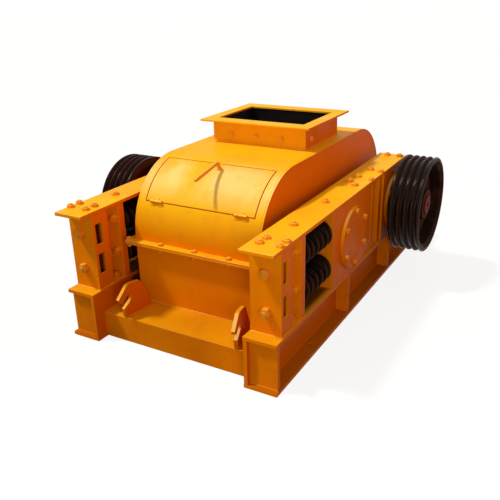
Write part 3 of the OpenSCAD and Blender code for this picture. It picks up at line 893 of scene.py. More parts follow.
@dataclass
class BaseFrame:
    """The two H-section base beams and the cross beams between them, all welded."""

    bevel: float = mm(3)
    flange: float = mm(17)
    web: float = mm(14)
    end_inset: float = mm(6)
    end_setback: float = mm(22)
    end_plate: float = mm(22)
    wall_setback: float = mm(12)
    bead: float = mm(4)

    def build(self) -> None:
        """Builds the beams, the cross beams and their welds."""
        for side in Side:
            self.beam(side)
        self.cross_beam("front_cross_beam", -1)
        self.cross_beam("rear_cross_beam", 1)

    def beam(self, side: Side) -> None:
        """Builds one base beam with the welds of its end plates and webs.

        Args:
            side: The side of the machine that it is on.
        """
        name = f"base_beam_{side.word}"
        box = Box.of(name)
        made = Shape()
        made.carry(name, self.bevel)
        low, high = box.low.z + self.flange, box.high.z - self.flange
        middle = box.middle.x
        left, right = box.low.x + self.end_inset, box.high.x - self.end_inset
        for end, way in ((box.low.y, 1), (box.high.y, -1)):
            face = end + way * self.end_setback
            back = face + way * self.end_plate
            for z in (low, high):
                made.bead((left, face, z), (right, face, z), self.bead)
                for x in (middle - self.web / 2, middle + self.web / 2):
                    made.bead((x, back, z), (x, 0, z), self.bead)
        made.piece(f"{name}_welded", "root", YELLOW, name)

    def cross_beam(self, name: str, way: int) -> None:
        """Builds one cross beam with its welds.

        Args:
            name: The name of its node.
            way: The way along Y on which its end lies: -1 for the front, 1 for the rear.
        """
        box = Box.of(name)
        made = Shape()
        made.carry(name, self.bevel)
        inner, outer = (box.high.y, box.low.y) if way < 0 else (box.low.y, box.high.y)
        wall = inner + way * self.wall_setback
        for x in (box.low.x, box.high.x):
            made.bead((x, outer, box.high.z), (x, wall, box.high.z), self.bead)
            made.bead((x, outer, box.high.z), (x, outer, self.flange), self.bead)
        reach = Box.of("housing_front_wall").high.x
        made.bead((-reach, wall, box.high.z), (reach, wall, box.high.z), self.bead)
        made.piece(f"{name}_welded", "root", YELLOW, name)


@dataclass
class TopRails:
    """The flat rails over the bearing housings, and the nuts that hold them down."""

    nut: Bolt = Bolt(mm(33), mm(13), stud=mm(5))
    twist: float = 17.0

    def nuts(self) -> Outline:
        """Lays out the nuts of one rail.

        Returns:
            Their distances from the rail's inner edge and from its front end.
        """
        post = [(49, 89), (49, 146), (142, 89), (142, 146)]
        middle = [(80, 331), (80, 671), (105, 981)]
        bearing = [(59, 1036), (153, 1103), (68, 1132), (81, 1288), (143, 1273)]
        stop = [(61, 1636), (133, 1636)]
        return [(mm(x), mm(y)) for x, y in post + middle + bearing + stop]

    def build(self) -> None:
        """Builds both rails and their nuts."""
        for side in Side:
            name = f"top_rail_{side.word}"
            box = Box.of(name)
            refined(name, f"{name}_plate", mm(3))
            nuts = Shape()
            inner = min(abs(box.low.x), abs(box.high.x))
            for k, (inset, along) in enumerate(self.nuts()):
                seat = side.at(inner + inset, box.low.y + along, box.high.z)
                nuts.bolt(seat, Axis.Z.unit, self.nut, self.twist * k)
            nuts.piece(f"rail_nuts_{side.word}", "root", BOLTS)


@dataclass
class SpringEnd:
    """The posts, spring seats, adjusting screws and coil springs of the sliding roll."""

    screw_radius: float = mm(15)
    ridges: int = 6
    ridge: float = mm(3)
    ridge_pitch: float = mm(6)
    flats: float = mm(42)
    head: float = mm(26)
    nut: float = mm(30)
    heights: tuple[float, float] = (mm(108), mm(281))
    spring_radius: float = mm(73)
    wire: float = mm(37)
    turns: float = 5.6
    travel: float = mm(30)
    back: float = mm(101)
    web: float = mm(14)
    # Dark plates inside each post, which stand in for the shade seen through its slots.
    shade_plate: float = mm(6)
    shade_plate_spacing: float = mm(48)
    shade_plate_inset: float = mm(13)
    seat_bolt: Bolt = Bolt(mm(38), mm(18), mm(4), mm(8))
    seat_bolt_spacing: float = mm(96)
    seat_heights: tuple[float, float] = (mm(132), mm(305))
    foot_bolt: Bolt = Bolt(mm(34), mm(15), mm(4), mm(8))
    foot_bolt_spacing: float = mm(80)
    foot_bolt_inset: float = mm(26)

    def build(self) -> None:
        """Builds everything at the spring end of both sides."""
        base = Box.of("base_beam_right").high.z
        for side in Side:
            self.post(side, base)
            self.screws(side, base)
            self.springs(side, base)
        refined("spring_seats", "spring_seat_plates", mm(3))

    def post(self, side: Side, base: float) -> None:
        """Builds one post, with the welds round its foot and below the rail.

        Args:
            side: The side of the machine that it is on.
            base: The height of the base beam's top.
        """
        name = f"front_post_{side.word}"
        box = Box.of(name)
        made = Shape()
        made.carry(name, mm(1.5))
        back = box.low.y + self.back
        middle = Box.of(f"springs_{side.word}").middle.x
        for z in (base, box.high.z):
            made.bead((box.low.x, box.low.y, z), (box.high.x, box.low.y, z))
            for x in (box.low.x, box.high.x):
                made.bead((x, box.low.y, z), (x, back, z))
            for x in (middle - self.web / 2, middle + self.web / 2):
                made.bead((x, back, z), (x, box.high.y, z))
        made.piece(f"{name}_welded", "root", YELLOW, name)
        # Dark plates inside the post: painted shade seen through its slots.
        self.inside(side, box, back, base)
        self.seat_bolts(side, box.middle.x, base)

    def inside(self, side: Side, box: Box, back: float, base: float) -> None:
        """Builds two dark primed plates in a post, beside its screws, as painted shade seen through its
        slots.

        Args:
            side: The side of the machine that it is on.
            box: The post's box.
            back: Where the hollow part of the post ends.
            base: The height of the base beam's top.
        """
        made = Shape()
        half = self.shade_plate / 2
        front, rear = box.low.y + self.shade_plate_inset, back - self.shade_plate_inset
        for way in (-1, 1):
            x = box.middle.x + way * self.shade_plate_spacing / 2
            made.block((x - half, front, base - mm(1)), (x + half, rear, box.high.z - mm(2)))
        made.piece(f"front_post_{side.word}_stiffeners", "root", PRIMER)

    def seat_bolts(self, side: Side, middle: float, base: float) -> None:
        """Builds the bolts through a spring seat and those that hold the post's foot to the beam.

        Args:
            side: The side of the machine that it is on.
            middle: The x of the post's middle.
            base: The height of the base beam's top.
        """
        made = Shape()
        seat_y = Box.of("spring_seats").low.y
        for way in (-1, 1):
            x = middle + way * self.seat_bolt_spacing / 2
            for height in self.seat_heights:
                made.bolt(Vector((x, seat_y, base + height)), -Axis.Y.unit, self.seat_bolt, 8.0)
            x = middle + way * self.foot_bolt_spacing / 2
            foot = Vector((x, seat_y - self.foot_bolt_inset, base))
            made.bolt(foot, Axis.Z.unit, self.foot_bolt, 20.0)
        made.piece(f"front_post_{side.word}_bolts", "root", YELLOW)

    def screws(self, side: Side, base: float) -> None:
        """Builds the two adjusting screws of one side, with their nuts.

        Args:
            side: The side of the machine that it is on.
            base: The height of the base beam's top.
        """
        name = f"adjusting_screws_{side.word}"
        box = Box.of(name)
        post = Box.of(f"front_post_{side.word}")
        out = -Axis.Y.unit
        made = Shape()
        for k, height in enumerate(self.heights):
            seat = Vector((box.middle.x, post.low.y, base + height))
            end = Vector((seat.x, box.high.y, seat.z))
            head = seat + out * self.head
            made.rod(seat, head, self.flats / math.sqrt(3), mm(2.5), 6, 30.0)
            made.rod(head, Vector((seat.x, box.low.y, seat.z)), self.screw_radius * 0.8, mm(3), 24)
            made.rod(seat, end, self.screw_radius, 0, 24)
            made.rod(end + out * self.nut, end, self.flats / math.sqrt(3), mm(2.5), 6, 12.0 + 20 * k)
            for step in range(self.ridges):
                start = end + out * (self.nut + mm(8) + self.ridge_pitch * step)
                made.rod(start + out * self.ridge, start, self.screw_radius * 1.1, mm(1), 24)
        made.piece(f"{name}_with_nuts", "root", BOLTS, name)

    def springs(self, side: Side, base: float) -> None:
        """Builds the two springs of one side, each with a guide sleeve inside it.

        Args:
            side: The side of the machine that it is on.
            base: The height of the base beam's top.
        """
        name = f"springs_{side.word}"
        box = Box.of(name)
        seat_y = Box.of("spring_seats").high.y
        length = Box.of(f"sliding_housing_{side.word}").low.y - seat_y
        for word, height in zip(("lower", "upper"), self.heights):
            start = Vector((box.middle.x, seat_y, base + height))
            coil = Shape()
            coil.coil(start, Axis.Y.unit, self.spring_radius, self.wire, length - mm(0.3), self.turns)
            made = coil.piece(f"spring_{side.word}_{word}", "root", SPRINGS, name)
            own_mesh(made)
            guide = Shape()
            bore, wall = self.screw_radius * 1.6, self.spring_radius - self.wire - mm(3)
            reach = length - self.travel - mm(6)
            sleeve = [(bore, 0), (wall, 0), (wall, reach - mm(6)), (wall - mm(4), reach), (bore, reach)]
            guide.lathe(sleeve, start, Axis.Y.unit, 48)
            guide.piece(f"spring_guide_{side.word}_{word}", "root", SPRINGS)


@dataclass
class Bearings:
    """The bearing housings with their covers, and the spacers and stops between them."""

    cover_radius: float = mm(157)
    bolt_circle: float = mm(135)
    bolts: int = 6
    bolt: Bolt = Bolt(mm(30), mm(12), mm(3))
    stop: float = mm(25)
    stop_web: float = mm(14)
    shaft_gap: float = mm(5)
    ring: float = mm(16)
    boss: float = mm(30)
    recess: float = mm(4)
    land: tuple[float, float] = (mm(28), mm(34))

    def build(self) -> None:
        """Builds the four housings, their covers, the spacers and the stops."""
        for kind, body in (("sliding", "front_carriage"), ("fixed", "root")):
            for side in Side:
                name = f"{kind}_housing_{side.word}"
                refined(name, f"{name}_block", mm(3), body)
                roll = "front_roll" if kind == "sliding" else "rear_roll"
                pulley_side = Side.LEFT if kind == "sliding" else Side.RIGHT
                self.cover(kind, side, body, Box.of(roll).middle, side is pulley_side)
        refined("spacers", "spacer_blocks", mm(2.5))
        self.stops()

    def stops(self) -> None:
        """Builds the rear stops, with the welds round their feet."""
        stops = Shape()
        stops.carry("rear_stops", mm(2))
        box = Box.of("rear_stops")
        foot = box.low.y + self.stop
        for side in Side:
            beam = Box.of(f"base_beam_{side.word}")
            house = Box.of(f"fixed_housing_{side.word}")
            for x in (beam.middle.x - self.stop_web / 2, beam.middle.x + self.stop_web / 2):
                stops.bead((x, foot, box.low.z), (x, box.high.y, box.low.z))
            stops.bead((house.low.x, foot, box.low.z), (house.high.x, foot, box.low.z))
        stops.piece("rear_stop_plates", "root", YELLOW, "rear_stops")

    def cover(self, kind: str, side: Side, body: str, centre: Vector, open_end: bool) -> None:
        """Builds one bearing cover with its bolts.

        Args:
            kind: "sliding" or "fixed".
            side: The side that it is on.
            body: The body that it rides on.
            centre: A point on the axis of its roll.
            open_end: Whether the shaft comes through it.
        """
        box = Box.of(f"{kind}_covers")
        face = Box.of(f"{kind}_housing_{side.word}").outer_x(side)
        thick = box.outer_x(side) - face
        seat = side.at(face, centre.y, centre.z)
        out = Axis.X.unit * side.value
        low = thick - self.recess
        rim = [(self.cover_radius, 0), (self.cover_radius, thick),
               (self.bolt_circle - self.land[0], thick), (self.bolt_circle - self.land[1], low)]
        if open_end:
            hole = SHAFT_RADIUS + self.shaft_gap
            centre_part = [(hole + self.ring, low), (hole + self.ring, thick), (hole, thick), (hole, 0)]
        else:
            centre_part = [(self.boss, low), (NEAR_AXIS, low), (NEAR_AXIS, 0)]
        plate = Shape()
        plate.lathe(rounded(rim + centre_part, mm(3)), seat, out)
        for k in range(self.bolts):
            angle = math.radians(30 + 360 / self.bolts * k)
            spot = seat + Vector((0, math.cos(angle), math.sin(angle))) * self.bolt_circle + out * thick
            plate.bolt(spot, out, self.bolt, 23.0 * k)
        plate.piece(f"{kind}_cover_{side.word}", body, YELLOW, f"{kind}_covers")


@dataclass
class Rolls:
    """The smooth rolls and their shafts."""

    tyre: float = mm(50)
    disc: float = mm(90)
    hub: float = mm(93)
    clamp: Bolt = Bolt(mm(36), mm(16), mm(4))
    clamps: int = 8

    def build(self) -> None:
        """Builds both rolls and both shafts."""
        for word, side in (("front", Side.LEFT), ("rear", Side.RIGHT)):
            self.roll(word, f"{word}_roll_set")
            self.shaft(word, f"{word}_roll_set", side)

    def roll(self, word: str, body: str) -> None:
        """Builds one roll: a tyre on a disc and a hub, with clamp bolts through the disc.

        Args:
            word: "front" or "rear".
            body: The body that it rides on.
        """
        box = Box.of(f"{word}_roll")
        outer, half = box.size.z / 2, box.size.x / 2
        inner = outer - self.tyre
        bore, disc = SHAFT_RADIUS + FIT, self.disc / 2
        profile = [(outer, -half), (outer, half), (inner, half), (inner, disc), (self.hub, disc),
                   (self.hub, half), (bore, half), (bore, -half), (self.hub, -half), (self.hub, -disc),
                   (inner, -disc), (inner, -half)]
        made = Shape()
        made.lathe(rounded(profile, mm(5)), box.middle, Axis.X.unit, 128)
        for k in range(self.clamps):
            angle = math.tau * k / self.clamps
            spoke = Vector((0, math.cos(angle), math.sin(angle))) * (inner + self.hub) / 2
            for out in (-Axis.X.unit, Axis.X.unit):
                made.bolt(box.middle + spoke + out * disc, out, self.clamp, 11.0 * k)
        made.piece(f"{word}_roll_turned", body, STEEL, f"{word}_roll")

    def shaft(self, word: str, body: str, side: Side) -> None:
        """Builds one shaft, chamfered, with a centre hole in its free end.

        Args:
            word: "front" or "rear".
            body: The body that it rides on.
            side: The side on which it carries its pulley.
        """
        box = Box.of(f"{word}_shaft")
        far = Side.LEFT if side is Side.RIGHT else Side.RIGHT
        start = side.at(-box.outer_x(far), box.middle.y, box.middle.z)
        out = Axis.X.unit * side.value
        length = box.size.x
        r = SHAFT_RADIUS
        profile = [(NEAR_AXIS, 0), (r - mm(3), 0), (r, mm(3)), (r, length - mm(4)), (r - mm(4), length),
                   (mm(14), length), (mm(9), length - mm(6)), (mm(9), length - mm(20)),
                   (NEAR_AXIS, length - mm(24))]
        made = Shape()
        made.lathe(profile, start, out, 64)
        made.piece(f"{word}_shaft_turned", body, PRIMER, f"{word}_shaft")


@dataclass
class Pulleys:
    """The two cast belt pulleys, each with four grooves in a rounded rim."""

    grooves: int = 4
    pitch: float = mm(37)
    depth: float = mm(26)
    top: float = mm(30)
    foot: float = mm(16)
    rim: float = mm(24)
    lip: float = mm(19)
    web: tuple[float, float] = (mm(70), mm(96))
    hub: float = mm(85.25)
    hub_start: float = mm(20)
    hub_end: float = mm(30)

    def build(self) -> None:
        """Builds both pulleys."""
        self.pulley(Side.LEFT, "front_roll_set")
        self.pulley(Side.RIGHT, "rear_roll_set")

    def pulley(self, side: Side, body: str) -> None:
        """Builds one pulley, turned from two profiles: its grooved crown and its dished web.

        Args:
            side: The side of the machine that it is on.
            body: The body that it rides on.
        """
        name = f"pulley_{side.word}"
        box = Box.of(name)
        outer, width = box.size.z / 2, box.size.x
        inner_rim = outer - self.depth - self.rim
        hub, bore = self.hub, SHAFT_RADIUS + FIT
        first = (width - (self.grooves - 1) * self.pitch) / 2
        crown: Outline = [(outer, 0)]
        for k in range(self.grooves):
            place = first + k * self.pitch
            crown += [(outer, place - self.top / 2), (outer - self.depth, place - self.foot / 2),
                      (outer - self.depth, place + self.foot / 2), (outer, place + self.top / 2)]
        edge = outer - self.lip
        crown += [(outer, width - mm(7)), (outer - mm(9), width), (edge - mm(2), width),
                  (edge - mm(2), width - mm(5)), (inner_rim + mm(19), width - mm(19)),
                  (inner_rim + mm(15), 0)]
        dish = [(edge + mm(1.5), width - mm(1.5)), (inner_rim + mm(8), width - mm(16)),
                (inner_rim - mm(6), self.web[1]), (hub + mm(4), self.web[1]),
                (hub, width - self.hub_end), (bore, width - self.hub_end), (bore, self.hub_start),
                (hub, self.hub_start), (hub + mm(4), self.web[0]), (inner_rim - mm(6), self.web[0]),
                (inner_rim, mm(1)), (inner_rim + mm(17), mm(1)), (inner_rim + mm(21), width - mm(18))]
        start = side.at(box.outer_x(side) - width, box.middle.y, box.middle.z)
        for word, profile, finish in (("grooves", crown, BLACK), ("web", dish, DISH)):
            made = Shape()
            made.lathe(rounded(profile, mm(4.5), 5), start, Axis.X.unit * side.value, 144)
            made.piece(f"{name}_{word}", body, finish, *([name] if profile is crown else []))


@dataclass
class LowerHousing:
    """The walls round the rolls, and the bolted flanges where the hood meets them."""

    head: Bolt = Bolt(mm(24), mm(9), mm(2))
    nut: Bolt = Bolt(mm(24), mm(11), mm(2), mm(6))
    row: tuple[float, ...] = (mm(-376), mm(-184), mm(8), mm(196), mm(376))
    corner: float = mm(150)
    pair: float = mm(160)

    def build(self) -> None:
        """Builds the walls, both flanges and the bolts through them."""
        for word in ("front_wall", "rear_wall", "side_left", "side_right"):
            refined(f"housing_{word}", f"housing_{word}_plate", mm(1.5))
        for name in ("housing_flange", "hood_flange"):
            refined(name, f"{name}_bars", mm(2))
        self.bolt_row()

    def bolt_row(self) -> None:
        """Builds the bolts of the joint: a head above, and a nut with its stud below."""
        box = Box.of("hood_flange")
        wall = Box.of("housing_front_wall")
        low = Box.of("housing_flange").low.z
        edge = (box.high.x - wall.high.x) / 2
        spots = [(x, y) for x in self.row for y in (box.low.y + edge, box.high.y - edge)]
        side_x = box.high.x - edge
        gap = (Box.of("front_roll").middle.y + Box.of("rear_roll").middle.y) / 2
        sides = [box.low.y + self.corner, box.high.y - self.corner,
                 gap - self.pair / 2, gap + self.pair / 2]
        spots += [(x, y) for x in (-side_x, side_x) for y in sides]
        made = Shape()
        for k, (x, y) in enumerate(spots):
            made.bolt(Vector((x, y, box.high.z)), Axis.Z.unit, self.head, 19.0 * k)
            made.bolt(Vector((x, y, low)), -Axis.Z.unit, self.nut, 31.0 * k)
        made.piece("joint_bolts", "root", BOLTS)


@dataclass
class Hood:
    """The rounded hood: two rolled ends, a flat top and two side plates."""

    front_radius: float = mm(342)
    rear_radius: float = mm(364)
    plate: float = mm(10)
    door_gap: float = mm(5)
    door_angles: tuple[float, float] = (30.0, 75.0)
    door_width: float = mm(596)
    stop_width: float = mm(12)
    stop_thickness: float = mm(5)
    stop_gap: float = mm(6)

    def radius(self, way: int) -> float:
        """Returns the outer radius of the rounded end that lies on one way along Y."""
        return self.front_radius if way < 0 else self.rear_radius

    def arc_centre(self, way: int) -> Vector:
        """Finds the point of the machine's middle plane about which one end is rounded.

        Args:
            way: -1 for the front end, 1 for the rear end.

        Returns:
            The centre of the arc.
        """
        box = Box.of("hood_side_right")
        edge = box.low.y if way < 0 else box.high.y
        return Vector((0, edge - way * self.radius(way), box.high.z - self.radius(way)))

    def sheet(self, half: float, low: float, high: float, way: int,
              foot: float = 0.0) -> bmesh.types.BMesh:
        """Rolls a sheet round one end of the hood, as its outer surface only.

        Args:
            half: Half its width.
            low: The angle of its lower edge above the horizontal, in degrees.
            high: The angle of its upper edge.
            way: -1 for the front end, 1 for the rear end.
            foot: How far it runs straight down from its lower edge.

        Returns:
            The surface.
        """
        centre = self.arc_centre(way)
        part = bmesh.new()
        angle = math.radians(low)
        rim = centre + Vector((0, way * math.cos(angle), math.sin(angle))) * self.radius(way)
        ends = [part.verts.new((x, rim.y, rim.z)) for x in (-half, half)]
        line = part.edges.new(ends)
        swept(part, [line], centre, Axis.X.unit * way, math.radians(high - low),
              round((high - low) / SHEET_FACET))
        if foot:
            bmesh.ops.translate(part, vec=(0, 0, -foot), verts=extended(part, [line])[0])
        return part

    def strip(self, half: float, x: float, bounds: tuple[float, float], lift: float,
              thickness: float) -> bmesh.types.BMesh:
        """Rolls a strip that follows the front end, inside or outside its sheet.

        Args:
            half: Half its width.
            x: The middle of its width.
            bounds: The angles of its two edges above the horizontal, in degrees.
            lift: How far its outer face lies outside the sheet's.
            thickness: Its thickness.

        Returns:
            The strip.
        """
        part = self.sheet(half, *bounds, -1)
        bmesh.ops.translate(part, vec=Axis.X.unit * x, verts=part.verts)
        centre = self.arc_centre(-1)
        for vert in part.verts:
            spoke = Vector((0, vert.co.y - centre.y, vert.co.z - centre.z)).normalized()
            vert.co += spoke * lift
        bmesh.ops.recalc_face_normals(part, faces=part.faces)
        bmesh.ops.solidify(part, geom=list(part.faces), thickness=thickness)
        bmesh.ops.recalc_face_normals(part, faces=part.faces)
        return part

    def thicken(self, part: bmesh.types.BMesh, way: int) -> None:
        """Gives a rolled sheet its thickness, inwards, and softens its edges.

        Args:
            part: The sheet's outer surface.
            way: -1 for the front end, 1 for the rear end.
        """
        bmesh.ops.recalc_face_normals(part, faces=part.faces)
        centre = self.arc_centre(way)
        face = max(part.faces, key=lambda f: f.calc_center_median().z)
        if face.normal.dot(face.calc_center_median() - centre) < 0:
            bmesh.ops.reverse_faces(part, faces=part.faces)
        bmesh.ops.solidify(part, geom=list(part.faces), thickness=self.plate)
        bmesh.ops.recalc_face_normals(part, faces=part.faces)
        soften(part, mm(1), angle=45)

    def build(self) -> None:
        """Builds the plates of the hood."""
        box = Box.of("hood_side_right")
        half = Box.of("hood_front").high.x
        for way, name in ((-1, "hood_front"), (1, "hood_rear")):
            foot = self.arc_centre(way).z - box.low.z
            part = self.sheet(half, 0.0, 90.0, way, foot)
            if way < 0:
                self.cut_door(part)
            self.thicken(part, way)
            end = Shape()
            end.add(part)
            if way < 0:
                self.door_stop(end)
            end.piece(f"{name}_rolled", "root", YELLOW, name)
        for name in ("hood_top", "hood_side_left", "hood_side_right"):
            refined(name, f"{name}_plate", mm(1.5))

    def door_stop(self, shape: Shape) -> None:
        """Adds the strips inside the hood that the door closes against, behind its gap.

        Args:
            shape: The shape that they are added to.
        """
        half = self.door_width / 2 + self.door_gap / 2
        reach = math.degrees(self.stop_width / self.front_radius)
        low, high = self.door_angles
        strips = [(half, 0.0, (angle - reach, angle + reach)) for angle in (low, high)]
        strips += [(self.stop_width, x, (low + reach, high - reach)) for x in (-half, half)]
        for wide, x, bounds in strips:
            lift = -self.plate - self.stop_gap
            shape.add(self.strip(wide, x, bounds, lift, self.stop_thickness))

    def cut_door(self, part: bmesh.types.BMesh) -> None:
        """Cuts the opening of the door, with its gap, out of the front end.

        Args:
            part: The front end's outer surface.
        """
        centre = self.arc_centre(-1)
        half = self.door_width / 2 + self.door_gap
        extra = math.degrees(self.door_gap / self.front_radius)
        low = math.radians(self.door_angles[0] - extra)
        high = math.radians(self.door_angles[1] + extra)
        cuts = [((half, 0, 0), Axis.X.unit), ((-half, 0, 0), Axis.X.unit)]
        cuts += [(centre, Vector((0, math.sin(a), math.cos(a)))) for a in (low, high)]
        for spot, normal in cuts:
            bmesh.ops.bisect_plane(part, geom=part.verts[:] + part.edges[:] + part.faces[:], dist=1e-6,
                                   plane_co=spot, plane_no=normal)
        inside = []
        for face in part.faces:
            spot = face.calc_center_median()
            angle = math.atan2(spot.z - centre.z, centre.y - spot.y)
            if abs(spot.x) < half and low < angle < high:
                inside.append(face)
        bmesh.ops.delete(part, geom=inside, context="FACES")


@dataclass
class InspectionDoor:
    """The curved door in the hood's front end, on two hinges, with a bent-bar handle."""

    hood: Hood
    knuckle: float = mm(8)
    pin: float = mm(4)
    span: float = mm(466)
    hinge: float = mm(66)
    leaf: float = mm(18)
    leaf_plate_thickness: float = mm(3)
    handle_radius: float = mm(8.5)
    handle_x: float = mm(20)
    handle_angle: float = 68.0
    handle_height: float = mm(38)
    grip: float = mm(195)

    def outward(self, angle: float) -> Vector:
        """Returns the unit vector out of the hood at an angle above the horizontal."""
        turn = math.radians(angle)
        return Vector((0, -math.cos(turn), math.sin(turn)))

    def build(self) -> None:
        """Builds the door sheet, its hinges and its handle."""
        low, high = self.hood.door_angles
        part = self.hood.sheet(self.hood.door_width / 2, low, high, -1)
        self.hood.thicken(part, -1)
        door = Shape()
        door.add(part)
        for x in (-self.span / 2, self.span / 2):
            self.leaf_plate(door, x, 1)
        door.piece("inspection_door_sheet", "door", YELLOW, "inspection_door")
        fixed = Shape()
        for x in (-self.span / 2, self.span / 2):
            for way in (-1, 1):
                self.leaf_plate(fixed, x + way * self.hinge / 3, -1)
            line = self.hinge_line(x)
            half = Axis.X.unit * (self.hinge / 2 + mm(2))
            fixed.rod(line - half, line + half, self.pin, mm(1.5), 16)
        fixed.piece("door_hinge_leaves", "root", YELLOW, "door_hinges")
        self.handle()

    def hinge_line(self, x: float) -> Vector:
        """Finds the line that the door turns about.

        Args:
            x: How far along it the point lies.

        Returns:
            The point of the line.
        """
        low = self.hood.door_angles[0] - math.degrees(self.hood.door_gap / 2 / self.hood.front_radius)
        reach = self.hood.front_radius + self.knuckle + mm(1)
        return self.hood.arc_centre(-1) + self.outward(low) * reach + Axis.X.unit * x

    def leaf_plate(self, shape: Shape, x: float, way: int) -> None:
        """Adds one knuckle with its leaf.

        Args:
            shape: The shape that it is added to.
            x: The middle of the knuckle.
            way: 1 for the leaf on the door, -1 for one on the hood below it.
        """
        half = self.hinge / 6 - mm(0.4)
        line = self.hinge_line(x)
        bore = self.pin + (mm(0.3) if way > 0 else 0)
        shape.lathe(rounded([(bore, -half), (self.knuckle, -half), (self.knuckle, half), (bore, half)],
                            mm(1), 2), line, Axis.X.unit, 32)
        gap = math.degrees(self.hood.door_gap / 2 / self.hood.front_radius)
        start = self.hood.door_angles[0] - (0 if way > 0 else 2 * gap)
        bend = math.degrees(self.leaf / self.hood.front_radius)
        bounds = (min(start, start + way * bend), max(start, start + way * bend))
        part = self.hood.strip(half, x, bounds, self.leaf_plate_thickness, self.leaf_plate_thickness)
        soften(part, mm(0.8), angle=45)
        shape.add(part)

    def handle(self) -> None:
        """Builds the handle: a leg square to the door and a grip that points forwards."""
        out = self.outward(self.handle_angle)
        foot = self.hood.arc_centre(-1) + out * self.hood.front_radius
        foot.x = self.handle_x
        elbow = foot + out * self.handle_height
        droop = math.radians((90 - self.handle_angle) / 2)
        tip = elbow + Vector((0, -math.cos(droop), -math.sin(droop))) * self.grip
        made = Shape()
        made.bar([foot - out * mm(2), elbow, tip], self.handle_radius, mm(14))
        r = self.handle_radius
        weld = [(r * 0.5, 0), (r * 1.7, 0), (r * 1.25, r * 0.7), (r * 0.5, r * 0.7)]
        made.lathe(rounded(weld, mm(1.5), 3), foot - out * mm(0.5), out, 32)
        made.piece("door_handle_bar", "door", BOLTS, "door_handle")


@dataclass
class FeedHopper:
    """The feed box with its flange, lined with bolted wear plates."""

    plate: float = mm(10)
    liner: float = mm(6)
    liner_gap: float = mm(0.2)
    bead: float = mm(4)
    head: Bolt = Bolt(mm(24), mm(8), mm(2))
    stud: Bolt = Bolt(mm(24), mm(10), mm(2), mm(18))
    row_height: float = mm(44)
    front_row: tuple[float, ...] = (mm(-160), mm(-10), mm(135))
    rear_row: tuple[float, ...] = (mm(-255), 0.0, mm(255))
    side_shift: float = mm(140)

    def build(self) -> None:
        """Builds the box, its flange, its liner plates and their bolts."""
        for name in ("hopper_box", "hopper_flange"):
            made = Shape()
            made.carry(name, mm(1.5))
            if name == "hopper_box":
                self.foot_welds(made, Box.of(name))
            made.piece(f"{name}_plates", "root", YELLOW, name)
        self.liner_plates()
        self.bolt_rows()

    def foot_welds(self, shape: Shape, box: Box) -> None:
        """Adds the weld round the foot of the box and under its flange.

        Args:
            shape: The shape that it is added to.
            box: The hopper's box.
        """
        low, high = box.low, box.high
        for z in (low.z, high.z):
            corners = ((low.x, low.y, z), (high.x, low.y, z), (high.x, high.y, z), (low.x, high.y, z))
            for k, corner in enumerate(corners):
                shape.bead(corner, corners[(k + 1) % 4], self.bead)

    def liner_plates(self) -> None:
        """Builds the wear plates that line the four inner faces of the box, near black as painted shade
        inside it.
        """
        box = Box.of("hopper_box")
        foot = Box.of("hood_top").low.z
        top = box.high.z - self.liner_gap
        x, y0, y1 = box.high.x - self.plate, box.low.y + self.plate, box.high.y - self.plate
        outer, inner = x - self.liner_gap, x - self.liner
        made = Shape()
        for way in (-1, 1):
            one = (way * outer, y0 + self.liner, foot)
            made.block(one, (way * inner, y1 - self.liner, top), mm(1))
        for edge, way in ((y0, 1), (y1, -1)):
            one = (-outer, edge + way * self.liner_gap, foot)
            made.block(one, (outer, edge + way * self.liner, top), mm(1))
        # Near-black plates: wear plates, and painted shade for the hopper's inside.
        made.piece("hopper_liner", "root", LINER_AND_SHADE)

    def bolt_rows(self) -> None:
        """Builds the bolts that hold the liner: three in front, three behind and one on each side."""
        box = Box.of("hopper_box")
        z = box.low.z + self.row_height
        made = Shape()
        spots = [(Vector((x, box.low.y, z)), -Axis.Y.unit, self.head) for x in self.front_row]
        spots += [(Vector((x, box.high.y, z)), Axis.Y.unit, self.stud) for x in self.rear_row]
        side_y = box.middle.y - self.side_shift
        spots += [(side.at(box.high.x, side_y, z), Axis.X.unit * side.value, self.head) for side in Side]
        for k, (seat, out, kind) in enumerate(spots):
            made.bolt(seat, out, kind, 27.0 * k)
        made.piece("hopper_bolts", "root", BOLTS)


@dataclass(frozen=True)
class HookFoot:
    """Where a hook stands: its distance from the machine's middle and its turn to the right."""

    x: float
    turn: float


@dataclass
class LiftingHooks:
    """The hook plates that stand on the cross beams, welded along their feet."""

    bevel: float = mm(2)
    plate: float = mm(18)
    inset: float = mm(4)
    share: float = 0.83
    feet: tuple[HookFoot, ...] = (HookFoot(mm(-285), 6.0), HookFoot(mm(336), -12.0))

    def build(self) -> None:
        """Builds the hooks of both ends."""
        for name, way in (("lifting_hooks_front", 1), ("lifting_hooks_rear", -1)):
            end = "front" if way > 0 else "rear"
            ledge = Box.of(f"{end}_cross_beam")
            wall = Box.of(f"housing_{end}_wall")
            outer, inner = (ledge.low.y, wall.low.y) if way > 0 else (ledge.high.y, wall.high.y)
            made = Shape()
            made.carry(name, self.bevel)
            for foot in self.feet:
                turn = math.radians(foot.turn)
                along = Vector((math.sin(turn), way * math.cos(turn), 0))
                across = Vector((math.cos(turn), -way * math.sin(turn), 0)) * self.plate / 2
                start = Vector((foot.x, outer + way * self.inset, ledge.high.z))
                stop = start + along * abs(inner - outer) * self.share
                for face in (across, -across):
                    made.bead(start + face, stop + face)
            made.piece(f"{name}_welded", "root", YELLOW, name)


# ---------------------------------------------------------------- studio


